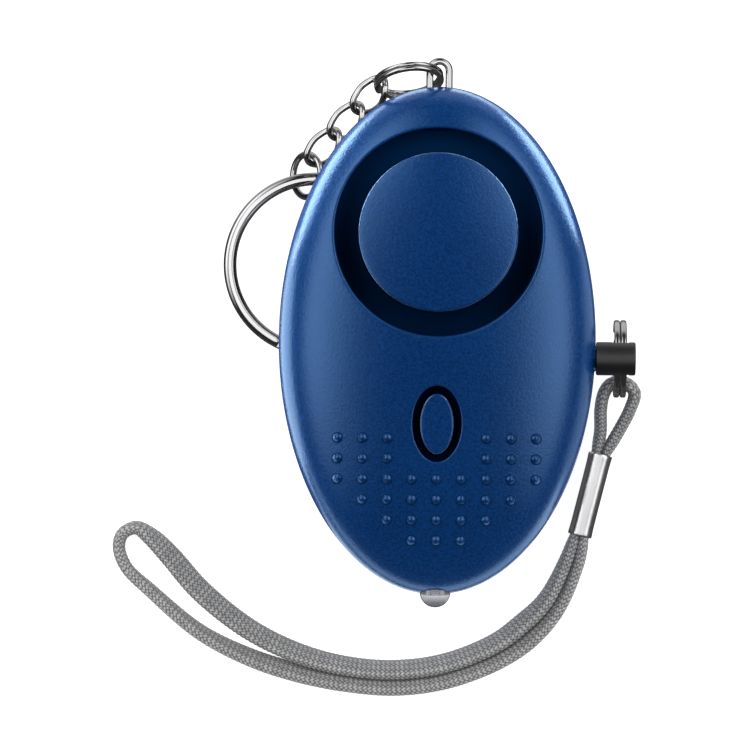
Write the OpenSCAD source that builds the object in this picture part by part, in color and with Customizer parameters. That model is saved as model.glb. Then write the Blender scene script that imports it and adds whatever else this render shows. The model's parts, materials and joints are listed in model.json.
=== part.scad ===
// Personal safety alarm with a pull pin, a wrist strap and a key chain.
// Millimetres. X runs across the casing, Y towards the key chain, Z up to the siren face.

/* [Casing] */
// Width of the casing
body_w = 51.2; // [46:0.2:58]
// Length of the casing
body_l = 82; // [76:0.5:92]
// Depth of the front shell
front_d = 11.5; // [11:0.1:14]
// Depth of the rear cover
rear_d = 11.35; // [11:0.05:14]
// Wall of both shells
wall = 1.8; // [1.2:0.1:2.2]
// Roundness of the domes, where 2 is an ellipsoid
dome_power = 2.4; // [2:0.1:3]
// Height of the casing above the surface, where it lies on its key ring
rest_h = 1.65; // [1.6:0.05:3]

/* [Siren] */
// Place of the siren above the middle of the casing
siren_y = 17.4; // [15:0.2:19]
// Outer diameter of the siren groove
siren_d = 33.4; // [30:0.2:35]
// Diameter of the cap in the groove
cap_d = 25.7; // [20:0.1:28]
// Height of the groove floor above the parting plane
siren_floor = 3.5; // [3:0.1:4.5]
// Thickness of the groove floor and of its wall
siren_wall = 1.2; // [0.8:0.1:1.6]
// Slot under the cap, where the sound comes out
cap_slot = 2; // [1:0.1:3]
// How far the cap lies below the casing's surface
cap_drop = 0.4; // [0.1:0.1:1]
// Diameter of the piezo disc
piezo_d = 27; // [20:0.5:29]

/* [Light and button] */
// Place of the button below the middle of the casing
button_y = -13.4; // [-16:0.2:-11]
// Width of the button
button_w = 5.4; // [4:0.1:7]
// Length of the button
button_l = 9.7; // [8:0.1:12]
// Width of the moat round the button
moat = 1.2; // [0.8:0.1:2]
// Depth of the moat
moat_depth = 1.2; // [0.6:0.1:1.6]
// Travel of the button
button_travel = 0.6; // [0.3:0.1:1]
// Diameter of the light
led_d = 5; // [3:0.1:6]
// How far the light stands out of the casing
led_out = 2.1; // [1:0.1:4]
// Diameter of a grip dot
dot_d = 1.7; // [1:0.1:2.4]

/* [Pull pin] */
// Place of the pin along the casing
pin_y = -2.7; // [-5:0.1:0]
// Diameter of the pin's head
pin_head_d = 5.4; // [4.6:0.1:7]
// Length of the pin's head
pin_head_l = 6.2; // [5:0.1:9]
// Diameter of the pin's shaft
pin_shaft_d = 3; // [2:0.1:3.4]
// Outer diameter of the strap ring
strap_ring_d = 12.6; // [11:0.1:14]

/* [Key chain] */
// Wire of the staple
staple_wire = 1.2; // [0.8:0.1:1.6]
// Inner width of the staple
staple_gap = 1.9; // [1.6:0.1:2.6]
// How far the staple stands out of the casing
staple_out = 4.7; // [4:0.1:6]
// Outer diameter of the split ring
split_ring_d = 11.4; // [10:0.1:13]
// Wire of the chain links and of the jump ring
link_wire = 1; // [0.8:0.05:1.1]
// Length of a chain link
link_l = 8.2; // [7.8:0.1:8.8]
// Inner width of a chain link
link_gap = 2.4; // [1.8:0.1:2.6]
// Outer diameter of the jump ring
jump_ring_d = 8; // [7.6:0.1:9]
// Outer diameter of the key ring
key_ring_d = 30; // [26:0.5:34]
// Width of the key ring's wire
key_wire_w = 2.1; // [1.4:0.1:2.6]
// Thickness of one turn of the key ring
key_wire_t = 0.85; // [0.6:0.05:0.9]

/* [Wrist strap] */
// Width of the strap
strap_w = 4.2; // [3:0.1:4.4]
// Thickness of the strap
strap_t = 1.8; // [1.2:0.1:1.9]
// Length of the crimped ferrule
ferrule_l = 13.7; // [10:0.1:16]
// Wall of the ferrule
ferrule_wall = 0.35; // [0.2:0.05:0.5]

/* [Hidden] */
$fn = 48;

// Clearances
fit = 0.05;
slide_gap = 0.15;
loose = 0.1;
hang = 0.2;
seat = 0.5;
reach = body_l;

// Casing
half_w = body_w / 2;
half_l = body_l / 2;
part_z = rest_h + rear_d;
dome_sides = 56;
dome_rings = 9;

// Inside of the casing, measured from the parting plane
floor_z = part_z + siren_floor;
cap_leg_d = 3;
vent_d = 2.4;
vent_circle = 12;
piezo_ring_t = 1.4;
piezo_rim = 1;
piezo_t = 0.5;
piezo_z = floor_z - siren_wall - piezo_ring_t;
board_t = 1.2;
board_drop = 2;
board_z = part_z - board_drop;
board_w = 23;
board_y = [-31, 14];
cell_d = 11.6;
cell_h = 5.4;
cell_count = 3;
cell_pitch = 12.2;
cell_y = -2;
contact_t = 0.2;
tray_wall = 1;
cell_z = board_z - contact_t - cell_h;
tray_h = cell_h + contact_t;
plate_t = 0.3;
plate_w = 6;
tab_w = 5;
coil_place = [-6.5, -23];
coil_d = 7;
coil_core_d = 4.6;
coil_flange = 1;
coil_h = 5;
chip_place = [3.5, -26];
chip_size = [4, 5, 1.5];
post_d = 4;
post_places = [[-9, -27], [9, -27], [-9.5, 12], [9.5, 12]];
screw_d = 2;
screw_head_d = 3.6;
screw_head_h = 1.4;
screw_seat = 4.5;
screw_reach = 3;
screw_slot = [0.6, 0.5];
boss_d = 5;
screw_places = [[-16, -23], [16, -23], [-19.6, 13], [19.6, 13]];

// Light, button and switch
switch_size = [6, 6, 3.4];
switch_top = board_z + board_t + switch_size.z;
stem_d = 3.2;
plunger_d = 2.6;
plunger_h = button_travel + slide_gap;
plunger_seat = 1.2;
led_flange_d = led_d + 0.8;
led_flange_t = 1;
led_body = 5;
lead_d = 0.5;
lead_pitch = 2.54;
lead_in = 2;
dot_pitch = [4, 3.3];
dot_top = -15.7;
dot_rows = [[2, 4], [2, 4], [0, 4], [0, 3], [0, 2], [0, 1]];
dot_sink = 0.3;

// Pull pin and strap ring
pin_edge = half_w * sqrt(1 - pow(pin_y / half_l, 2));
pin_head_gap = 0.3;
pin_head_x = pin_edge + pin_head_gap;
socket_size = [7.6, 6.4, 4.8];
socket_x = 12.3;
socket_back = 0.4;
pin_tip_x = socket_x + 2 * socket_back;
spring_t = 0.25;
spring_w = 1;
spring_h = 2.4;
spring_apart = 3.2;
spring_foot = 3;
ring_wire_w = 1;
ring_turn_t = 1.05;
ring_from_head = 3.8;
ring_slot_h = 2.6;
ring_slot_gap = 0.3;
ring_x = pin_head_x + ring_from_head;
ring_mean = (strap_ring_d - ring_wire_w) / 2;
ring_z = part_z - ring_mean;

// Key chain, from the staple to the key ring
staple_leg = 4.4;
staple_foot = 1.4;
staple_block = [8, 5.4, 2.6];
split_wire_w = 1;
split_turn_t = 0.75;
split_mean = (split_ring_d - split_wire_w) / 2;
staple_hang = 2.1;
split_hang = [0, half_l + staple_hang, part_z];
split_along = unit([0.95, 0.22, 0.2]);
split_across = [-0.3, 0.35, 0.88];
split_normal = unit(cross(split_along, split_across));
split_middle = split_hang - split_mean * split_along;
split_end = split_hang - 2 * split_mean * split_along;
link_count = 3;
link_reach = link_l - link_wire;
link_pitch = link_reach - link_wire - hang;
link_hook = (split_wire_w + link_wire) / 2 + 3.5 * hang;
chain_heading = 228.4;
chain_drop = 21.5;
chain_along = [cos(chain_heading) * cos(chain_drop), sin(chain_heading) * cos(chain_drop),
  -sin(chain_drop)];
link_start_normal = unit(flat_to(cross(split_normal, split_along), chain_along));
link_twist = -90;
link_roll = 22;
link_normal = turned(link_start_normal, chain_along, link_twist / 2 + link_roll);
first_link = split_end + (link_reach / 2 - link_hook) * chain_along;
chain_end = first_link + ((link_count - 1) * link_pitch + link_reach / 2) * chain_along;
jump_mean = (jump_ring_d - link_wire) / 2;
jump_tilt = 50;
jump_angle = 53;
jump_hook = chain_end - (link_wire + hang) * chain_along;
jump_along = [cos(jump_tilt), 0, sin(jump_tilt)];
jump_normal = [-sin(jump_tilt), 0, cos(jump_tilt)];
jump_middle = jump_hook
  - jump_mean * (sin(jump_angle) * [0, 1, 0] + cos(jump_angle) * jump_along);

// The key ring hangs in the jump ring and lies on the surface, a little tipped
key_mean = (key_ring_d - key_wire_w) / 2;
key_hook = 0.6;
key_heading = 276.11;
key_tip_heading = 155;
key_tip = 4.2;
key_middle = [jump_middle.x + (key_mean + key_hook) * cos(key_heading),
  jump_middle.y + (key_mean + key_hook) * sin(key_heading),
  key_ring_d / 2 * sin(key_tip) + key_wire_t * cos(key_tip) + fit];
key_split = 0.25;
key_split_apart = 1.5;

// The frame's origin lies under the middle of the part without its strap
middle = [(pin_head_x + pin_head_l + key_middle.x - key_ring_d / 2) / 2, (staple_out - led_out) / 2, 0];

// Wrist strap: places on the surface, with the lean of the strap at each
ferrule_top = [26.8, -18.2];
ferrule_heading = 256;
ferrule_along = [cos(ferrule_heading), sin(ferrule_heading), 0];
ferrule_side = [-ferrule_along.y, ferrule_along.x, 0];
ferrule_w = 2 * strap_t + 2 * ferrule_wall;
ferrule_h = strap_w + 2 * ferrule_wall;
ferrule_start = [ferrule_top.x, ferrule_top.y, ferrule_h / 2 + fit];
ferrule_end = ferrule_start + ferrule_l * ferrule_along;
strand_apart = strap_t / 2 + fit;
loop_places = [[21.3, -35.5, 10], [18, -42, 25], [14, -46, 35], [10, -49, 35], [2, -52.3, 35],
  [-6, -53.5, 35], [-14, -53, 35], [-22, -51, 40], [-30, -47.2, 45], [-38, -41, 50],
  [-43, -35.4, 45], [-46, -32.4, 30], [-48.6, -30.8, 10], [-50.8, -31.8, 0], [-51.4, -34, 0],
  [-50.2, -37.2, 0], [-46.2, -41, -10], [-38.2, -47.6, -20], [-30, -51.7, -30], [-22, -54.2, -35],
  [-14, -55.7, -35], [-6, -56.2, -35], [2.2, -55, -35], [10.8, -51.6, -35], [15.9, -48, -35],
  [20, -43.2, -25], [23.2, -36, -10]];
bight_places = [[26.7, -14.6, 3.2], [26.7, -10.8, 4.8], [27.2, -8.2, 6.4], [28.2, -6.8, 7.1],
  [29.6, -6.4, 7.2], [31, -6.8, 7.1], [32.1, -8.2, 6.4], [31.4, -11, 4.8], [29.6, -14.6, 3.2]];

// Vectors
function unit(v) = v / norm(v);
function flat_to(v, along) = v - (v * along) * along;
function turned(v, axis, angle) = v * cos(angle) + cross(axis, v) * sin(angle);
function frame_at(p, x, z) = let(y = cross(z, x))
  [[x.x, y.x, z.x, p.x], [x.y, y.y, z.y, p.y], [x.z, y.z, z.z, p.z], [0, 0, 0, 1]];

// Height of the front shell's surface above a place on the casing
function across_dome(x, y) = sqrt(pow(x / half_w, 2) + pow(y / half_l, 2));
function front_z(x, y) = part_z + front_d * sqrt(1 - pow(across_dome(x, y), dome_power));
function rear_z(x, y) = part_z - rear_d * sqrt(1 - pow(across_dome(x, y), dome_power));

// Closed faces of a tube whose rings have the same number of points
function quad_faces(rings, sides, closed) = [for (i = [0:rings - (closed ? 1 : 2)], j = [0:sides - 1])
  let(k = (i + 1) % rings, l = (j + 1) % sides)
  [i * sides + j, k * sides + j, k * sides + l, i * sides + l]];
function split_quads(quads) = [for (q = quads) each [[q[0], q[1], q[2]], [q[0], q[2], q[3]]]];

// Half of a dome on its rim, with a skirt below the rim where it is used to cut
module dome(w, l, h, skirt = 0) {
  low = skirt > 0 ? 1 : 0;
  levels = [for (i = [0:low - 1]) [1, -skirt], for (i = [0:dome_rings - 1])
    let(a = 90 * i / dome_rings) [pow(cos(a), 2 / dome_power), h * sin(a)]];
  rings = len(levels);
  points = [for (v = levels, j = [0:dome_sides - 1]) let(a = 360 * j / dome_sides)
    [w * v[0] * cos(a), l * v[0] * sin(a), v[1]]];
  top = (rings - 1) * dome_sides;
  polyhedron(points = concat(points, [[0, 0, h]]), faces = concat(
    [[for (j = [0:dome_sides - 1]) j]],
    quad_faces(rings, dome_sides, false),
    [for (j = [0:dome_sides - 1]) [top + (j + 1) % dome_sides, top + j, rings * dome_sides]]));
}

module front_dome() {
  translate([0, 0, part_z]) dome(half_w, half_l, front_d);
}

module front_hollow() {
  translate([0, 0, part_z]) dome(half_w - wall, half_l - wall, front_d - wall, 1);
}

module rear_dome() {
  translate([0, 0, part_z]) mirror([0, 0, 1]) dome(half_w, half_l, rear_d);
}

module rear_hollow() {
  translate([0, 0, part_z]) mirror([0, 0, 1]) dome(half_w - wall, half_l - wall, rear_d - wall, 1);
}

module oval(w, l) {
  sides = 40;
  polygon([for (i = [0:sides - 1]) let(a = 360 * i / sides) [w / 2 * cos(a), l / 2 * sin(a)]]);
}

// Holes along the parting plane, half in each shell
module rim_holes() {
  translate([0, 0, part_z]) rotate([90, 0, 0]) cylinder(d = led_d + 2 * slide_gap, h = reach);
  translate([0, pin_y, part_z]) rotate([0, 90, 0]) cylinder(d = pin_shaft_d + 2 * loose, h = reach);
  for (side = [-1, 1])
    translate([side * (staple_gap + staple_wire) / 2, half_l - staple_leg, part_z]) rotate([-90, 0, 0])
      cylinder(d = staple_wire + 2 * fit, h = reach);
  translate([0, half_l - staple_leg, part_z]) cube([staple_gap + 2 * staple_wire
    + 2 * staple_foot + 2 * fit, staple_wire + 2 * fit, staple_wire + 2 * fit], center = true);
}

module staple_seat(up) {
  translate([-staple_block.x / 2, half_l - staple_block.y, up ? part_z - seat : part_z - staple_block.z])
    cube([staple_block.x, staple_block.y, staple_block.z + seat]);
}

module grip_dots() {
  for (row = [0:len(dot_rows) - 1], column = [dot_rows[row][0]:dot_rows[row][1]], side = [-1, 1])
    if (column > 0 || side > 0) {
      x = side * column * dot_pitch.x;
      y = dot_top - row * dot_pitch.y;
      translate([x, y, front_z(x, y) - dot_sink]) sphere(d = dot_d, $fn = 10);
    }
}

module front_shell() {
  moat_z = front_z(0, button_y) - moat_depth;
  color("#1f4f8f") difference() {
    union() {
      difference() {
        front_dome();
        difference() {
          front_hollow();
          translate([0, siren_y, floor_z - siren_wall])
            cylinder(d = siren_d + 2 * siren_wall, h = reach, $fn = 96);
          translate([0, button_y, moat_z - wall]) linear_extrude(reach)
            oval(button_w + 2 * moat + 2 * wall, button_l + 2 * moat + 2 * wall);
          for (p = screw_places) translate([p.x, p.y, part_z - 1]) cylinder(d = boss_d, h = reach);
          staple_seat(true);
        }
      }
      grip_dots();
    }
    translate([0, siren_y, floor_z]) cylinder(d = siren_d, h = reach, $fn = 96);
    for (a = [0:60:300])
      translate([0, siren_y, floor_z - 2 * siren_wall]) rotate([0, 0, a])
        translate([vent_circle / 2, 0, 0]) cylinder(d = vent_d, h = reach);
    translate([0, button_y, moat_z]) linear_extrude(reach)
      oval(button_w + 2 * moat, button_l + 2 * moat);
    translate([0, button_y, part_z]) linear_extrude(reach)
      oval(button_w + 2 * slide_gap, button_l + 2 * slide_gap);
    for (p = screw_places) translate([p.x, p.y, part_z - seat])
      cylinder(d = screw_d + 2 * fit, h = screw_reach + seat + slide_gap);
    rim_holes();
  }
}

module rear_cover() {
  color("#1b467f") difference() {
    rear_dome();
    difference() {
      rear_hollow();
      for (p = screw_places) translate([p.x, p.y, 0]) cylinder(d = boss_d + 1, h = reach);
      for (p = post_places) translate([p.x, p.y, 0]) cylinder(d = post_d, h = board_z);
      translate([socket_x + socket_size.x / 2, pin_y, 0])
        cylinder(d = post_d, h = part_z - socket_size.z / 2);
      staple_seat(false);
    }
    for (p = screw_places) {
      translate([p.x, p.y, 0]) cylinder(d = screw_head_d + 2 * hang, h = part_z - screw_seat);
      translate([p.x, p.y, 0]) cylinder(d = screw_d + 2 * loose, h = reach);
    }
    rim_holes();
  }
}

// Cap that follows the casing, on three legs that stand on the groove floor
module siren_cap() {
  color("#1f4f8f") {
    intersection() {
      translate([0, 0, -cap_drop]) front_dome();
      translate([0, siren_y, floor_z + cap_slot]) cylinder(d = cap_d, h = reach, $fn = 96);
    }
    for (a = [30:120:270])
      translate([0, siren_y, floor_z]) rotate([0, 0, a]) translate([cap_d / 2 - cap_leg_d, 0, 0])
        cylinder(d = cap_leg_d, h = cap_slot + seat);
  }
}

module piezo_ring() {
  color("#d8d4c8") translate([0, siren_y, piezo_z]) difference() {
    cylinder(d = piezo_d + 2 * piezo_rim, h = piezo_ring_t);
    translate([0, 0, -seat]) cylinder(d = piezo_d - 2 * piezo_rim, h = piezo_ring_t + 2 * seat);
  }
}

module piezo_disc() {
  color("#c9a24a") translate([0, siren_y, piezo_z - piezo_t]) cylinder(d = piezo_d, h = piezo_t);
}

module circuit_board() {
  color("#2f6b3a") translate([-board_w / 2, board_y[0], board_z])
    cube([board_w, board_y[1] - board_y[0], board_t]);
}

module boost_coil() {
  color("#6b4a2b") translate([coil_place.x, coil_place.y, board_z + board_t]) {
    cylinder(d = coil_d, h = coil_flange);
    cylinder(d = coil_core_d, h = coil_h);
    translate([0, 0, coil_h - coil_flange]) cylinder(d = coil_d, h = coil_flange);
  }
}

module driver_chip() {
  color("#222222") translate([chip_place.x, chip_place.y, board_z + board_t]) cube(chip_size);
}

module tact_switch() {
  color("#3a3a3a") difference() {
    translate([-switch_size.x / 2, button_y - switch_size.y / 2, board_z + board_t]) cube(switch_size);
    translate([0, button_y, switch_top - plunger_seat]) cylinder(d = plunger_d + 2 * loose, h = reach);
  }
}

module led() {
  tip_y = half_l + led_out;
  color("#e8ecee") translate([0, 0, part_z]) rotate([90, 0, 0]) {
    translate([0, 0, tip_y - led_d / 2]) sphere(d = led_d);
    translate([0, 0, tip_y - led_d / 2 - led_body]) cylinder(d = led_d, h = led_body);
    translate([0, 0, tip_y - led_d / 2 - led_body - led_flange_t])
      cylinder(d = led_flange_d, h = led_flange_t);
  }
}

module led_leads() {
  base_y = half_l + led_out - led_d / 2 - led_body - led_flange_t;
  color("#c0c0c4") for (side = [-1, 1])
    translate([side * lead_pitch / 2, 0, board_z + board_t + lead_d / 2 + fit]) rotate([90, 0, 0])
      translate([0, 0, -board_y[0] - lead_in])
        cylinder(d = lead_d, h = base_y + board_y[0] + lead_in, $fn = 16);
}

module each_cell() {
  for (i = [0:cell_count - 1]) translate([0, cell_y + (i - (cell_count - 1) / 2) * cell_pitch, 0])
    children();
}

module battery_tray() {
  w = cell_d + 2 * tray_wall;
  l = (cell_count - 1) * cell_pitch + cell_d + 2 * tray_wall;
  color("#dddddd") difference() {
    translate([-w / 2, cell_y - l / 2, cell_z]) cube([w, l, tray_h]);
    each_cell() translate([0, 0, cell_z - seat]) cylinder(d = cell_d + 2 * loose, h = tray_h + 2 * seat);
  }
}

module button_cells() {
  color("#c8c8cc") each_cell() translate([0, 0, cell_z]) cylinder(d = cell_d, h = cell_h);
}

module lower_contact() {
  l = (cell_count - 1) * cell_pitch + cell_d / 2;
  color("#b9a36a") translate([-plate_w / 2, cell_y - l / 2, cell_z - plate_t]) cube([plate_w, l, plate_t]);
}

module upper_contact() {
  color("#b9a36a") each_cell() translate([-tab_w / 2, -tab_w / 2, cell_z + cell_h])
    cube([tab_w, tab_w, contact_t]);
}

module pin_socket() {
  color("#444444") difference() {
    translate([socket_x, pin_y - socket_size.y / 2, part_z - socket_size.z / 2]) cube(socket_size);
    translate([socket_x + socket_back, pin_y, part_z]) rotate([0, 90, 0])
      cylinder(d = pin_shaft_d + 2 * loose, h = reach);
  }
}

module switch_contacts() {
  foot_x = board_w / 2 - spring_foot;
  color("#c9a24a") for (side = [-1, 1])
    translate([0, pin_y + (side * spring_apart - spring_w) / 2, board_z + board_t]) {
      translate([foot_x, 0, 0]) cube([socket_x - foot_x, spring_w, spring_t]);
      translate([socket_x - spring_t, 0, 0]) cube([spring_t, spring_w, spring_h]);
    }
}

module case_screws() {
  color("#b8bcc2") for (p = screw_places) translate([p.x, p.y, part_z - screw_seat]) {
    difference() {
      translate([0, 0, -screw_head_h]) cylinder(d = screw_head_d, h = screw_head_h);
      translate([-screw_slot.x / 2, -reach / 2, -screw_head_h - 1])
        cube([screw_slot.x, reach, screw_slot.y + 1]);
    }
    cylinder(d = screw_d, h = screw_seat + screw_reach);
  }
}

// Wire eye whose feet are held between the two shells
module staple() {
  bend = (staple_gap + staple_wire) / 2;
  apex_y = half_l + staple_out - staple_wire / 2 - bend;
  foot_y = half_l - staple_leg;
  color("#c4c6ca") translate([0, 0, part_z]) {
    translate([0, apex_y, 0]) rotate_extrude(angle = 180) translate([bend, 0]) circle(d = staple_wire);
    for (side = [-1, 1]) {
      translate([side * bend, foot_y, 0]) rotate([-90, 0, 0]) cylinder(d = staple_wire, h = apex_y - foot_y);
      translate([side * bend, foot_y, 0]) sphere(d = staple_wire);
      translate([side * bend, foot_y, 0]) rotate([0, side * 90, 0])
        cylinder(d = staple_wire, h = staple_foot);
    }
  }
}

// Button with a stem that rests on the switch's plunger
module led_button() {
  top_z = front_z(0, button_y);
  stem_z = switch_top + plunger_h;
  flange_z = top_z - moat_depth - wall - button_travel - loose;
  color("#1f4f8f") {
    translate([0, button_y, flange_z]) linear_extrude(top_z - flange_z) oval(button_w, button_l);
    translate([0, button_y, stem_z]) cylinder(d = stem_d, h = flange_z - stem_z + seat);
  }
}

module switch_plunger() {
  color("#dddddd") translate([0, button_y, switch_top - seat]) cylinder(d = plunger_d, h = plunger_h + seat);
}

module pull_pin() {
  slot_top = part_z + ring_wire_w / 2 + hang;
  color("#1c1c1e") difference() {
    union() {
      translate([pin_head_x, pin_y, part_z]) rotate([0, 90, 0]) cylinder(d = pin_head_d, h = pin_head_l);
      translate([pin_tip_x, pin_y, part_z]) rotate([0, 90, 0])
        cylinder(d = pin_shaft_d, h = pin_head_x - pin_tip_x);
    }
    translate([ring_x - ring_turn_t - ring_slot_gap, pin_y - reach / 2, slot_top - ring_slot_h])
      cube([2 * (ring_turn_t + ring_slot_gap), reach, ring_slot_h]);
  }
}

// Section of two turns of flat wire that lie on each other
function two_turns(w, t) = let(c = 0.2 * t, x = w / 2) [[-x, c - t], [c - x, -t], [x - c, -t], [x, c - t],
  [x, -c], [x - c, 0], [x, c], [x, t - c], [x - c, t], [c - x, t], [c - x, t] + [-c, -c], [-x, c], [c - x, 0],
  [-x, -c]];
function round_wire(d) = [for (j = [0:7]) d / 2 * [cos(45 * j + 22.5), sin(45 * j + 22.5)]];

// Ring of a section about Z, in flat facets
module faceted_ring(mean, section, sides = 32) {
  count = len(section);
  points = [for (i = [0:sides - 1], s = section) let(a = 360 * i / sides)
    [(mean + s.x) * cos(a), (mean + s.x) * sin(a), s.y]];
  polyhedron(points = points, faces = quad_faces(sides, count, true));
}

module strap_ring() {
  color("#b4b6ba") translate([ring_x, pin_y, ring_z]) rotate([0, 90, 0])
    faceted_ring(ring_mean, two_turns(ring_wire_w, ring_turn_t));
}

module split_ring() {
  color("#c4c6ca") multmatrix(frame_at(split_middle, split_along, split_normal))
    faceted_ring(split_mean, two_turns(split_wire_w, split_turn_t));
}

module jump_ring() {
  color("#c4c6ca") multmatrix(frame_at(jump_middle, jump_along, jump_normal))
    faceted_ring(jump_mean, round_wire(link_wire), 28);
}

// Link whose two ends are turned a quarter turn against each other
module curb_link() {
  bend = (link_gap + link_wire) / 2;
  straight = link_l / 2 - link_wire / 2 - bend;
  turns = 7;
  outline = [for (side = [1, -1], i = [0:turns]) let(a = 180 * i / turns - 90)
    side * [straight + bend * cos(a), bend * sin(a)]];
  count = len(outline);
  function place(i) = let(p = outline[i % count], a = link_twist / 2 * p.x / (link_reach / 2))
    [p.x, p.y * cos(a), p.y * sin(a)];
  section = round_wire(link_wire);
  points = [for (i = [0:count - 1], s = section) let(
    a = link_twist / 2 * outline[i].x / (link_reach / 2),
    along = unit(place(i + 1) - place(i + count - 1)),
    out = unit(cross(along, [0, -sin(a), cos(a)])),
    up = cross(out, along)) place(i) + s.x * out + s.y * up];
  polyhedron(points = points, faces = split_quads(quad_faces(count, len(section), true)));
}

module chain_link(number) {
  color("#c4c6ca") multmatrix(frame_at(first_link + (number - 1) * link_pitch * chain_along,
    chain_along, link_normal)) curb_link();
}

// Two turns of flat wire, each with its own split
module key_ring() {
  color("#c4c6ca") translate(key_middle) rotate([0, 0, key_tip_heading]) rotate([0, -key_tip, 0])
    difference() {
      rotate_extrude($fn = 96) translate([key_mean, 0]) polygon(two_turns(key_wire_w, key_wire_t));
      translate([key_mean - key_wire_w, 0, 0]) cube([2 * key_wire_w, key_split, 2 * key_wire_t]);
      translate([key_mean - key_wire_w, -key_split_apart, -2 * key_wire_t])
        cube([2 * key_wire_w, key_split, 2 * key_wire_t]);
    }
}

// Section of the strap: thickness, then width
function strap_section() = let(x = strap_t / 2, y = strap_w / 2, c = strap_t / 4)
  [[x, c - y], [x, y - c], [x - c, y], [c - x, y], [-x, y - c], [-x, c - y], [c - x, -y], [x - c, -y]];

// Strap along places with a lean each, between two ends with a given heading
module strap(places, start_along, end_along) {
  last = len(places) - 1;
  section = strap_section();
  count = len(section);
  function place(i) = [places[i].x, places[i].y, places[i].z];
  function heading(i) = i == 0 ? start_along : i == last ? end_along
    : unit(unit(place(i + 1) - place(i)) + unit(place(i) - place(i - 1)));
  points = [for (i = [0:last], s = section) let(
    along = heading(i),
    side = unit(cross([0, 0, 1], along)),
    up = cross(along, side),
    lean = places[i][3]) place(i) + s.x * (side * cos(lean) - up * sin(lean))
    + s.y * (up * cos(lean) + side * sin(lean))];
  polyhedron(points = points, faces = concat([[for (j = [0:count - 1]) j]],
    split_quads(quad_faces(last + 1, count, false)),
    [[for (j = [count - 1:-1:0]) last * count + j]]));
}

function lying(p) = [p.x, p.y, strap_w / 2 * cos(p.z) + strap_t / 2 * abs(sin(p.z)) + fit, p.z];
function strand(p, side) = [for (v = p + side * strand_apart * ferrule_side) v];

module strap_loop() {
  inner = strand(ferrule_end, -1);
  outer = strand(ferrule_end, 1);
  color("#8d8f92") strap(concat([[inner.x, inner.y, inner.z, 0]], [for (p = loop_places) lying(p)],
    [[outer.x, outer.y, outer.z, 0]]), ferrule_along, -ferrule_along);
}

module strap_bight() {
  inner = strand(ferrule_start, -1);
  outer = strand(ferrule_start, 1);
  color("#8d8f92") strap(concat([[inner.x, inner.y, inner.z, 0]],
    [for (p = bight_places) [p.x, p.y, p.z, 0]], [[outer.x, outer.y, outer.z, 0]]),
    -ferrule_along, ferrule_along);
}

module ferrule() {
  color("#cfd1d4") multmatrix(frame_at(ferrule_start, ferrule_along, [0, 0, 1]))
    rotate([90, 0, 90]) linear_extrude(ferrule_l) offset(r = strap_t / 2, $fn = 24)
      square([ferrule_w - strap_t, ferrule_h - strap_t], center = true);
}

translate(-middle) front_shell();
translate(-middle) rear_cover();
translate(-middle) siren_cap();
translate(-middle) piezo_ring();
translate(-middle) piezo_disc();
translate(-middle) circuit_board();
translate(-middle) boost_coil();
translate(-middle) driver_chip();
translate(-middle) tact_switch();
translate(-middle) switch_plunger();
translate(-middle) led();
translate(-middle) led_leads();
translate(-middle) battery_tray();
translate(-middle) button_cells();
translate(-middle) lower_contact();
translate(-middle) upper_contact();
translate(-middle) pin_socket();
translate(-middle) switch_contacts();
translate(-middle) case_screws();
translate(-middle) staple();
translate(-middle) led_button();
translate(-middle) pull_pin();
translate(-middle) strap_ring();
translate(-middle) ferrule();
translate(-middle) strap_bight();
translate(-middle) strap_loop();
translate(-middle) split_ring();
translate(-middle) chain_link(1);  // chain_link_1
translate(-middle) chain_link(2);  // chain_link_2
translate(-middle) chain_link(3);  // chain_link_3
translate(-middle) jump_ring();
translate(-middle) key_ring();
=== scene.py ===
import json
from math import atan2, cos, hypot, pi, radians, sin, sqrt

import bpy
import bmesh
import numpy as np
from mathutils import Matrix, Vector
from mathutils.geometry import delaunay_2d_cdt

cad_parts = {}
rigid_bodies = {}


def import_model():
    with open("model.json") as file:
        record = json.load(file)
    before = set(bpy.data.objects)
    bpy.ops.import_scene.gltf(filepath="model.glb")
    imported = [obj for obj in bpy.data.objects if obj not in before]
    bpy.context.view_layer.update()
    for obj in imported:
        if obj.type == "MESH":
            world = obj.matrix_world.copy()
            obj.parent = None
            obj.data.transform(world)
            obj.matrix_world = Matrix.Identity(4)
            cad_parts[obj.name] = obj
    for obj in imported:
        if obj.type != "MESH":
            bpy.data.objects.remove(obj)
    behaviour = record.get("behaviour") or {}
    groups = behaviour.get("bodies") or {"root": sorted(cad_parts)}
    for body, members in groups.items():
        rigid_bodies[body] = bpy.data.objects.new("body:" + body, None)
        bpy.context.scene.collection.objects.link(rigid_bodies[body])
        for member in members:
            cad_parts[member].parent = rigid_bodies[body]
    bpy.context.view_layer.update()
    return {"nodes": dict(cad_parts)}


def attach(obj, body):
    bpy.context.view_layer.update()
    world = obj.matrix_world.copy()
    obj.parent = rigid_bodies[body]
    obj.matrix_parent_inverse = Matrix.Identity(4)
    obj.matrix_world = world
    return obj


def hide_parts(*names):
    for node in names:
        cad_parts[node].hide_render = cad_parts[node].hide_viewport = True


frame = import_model()
nodes = frame["nodes"]

# Sizes are in millimetres about the middle of the casing; SHIFT takes them to the shared frame
SHIFT = np.array([1.378, -1.3, 0.0])
UP = np.array([0, 0, 1.0])
FIT = 0.05

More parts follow.
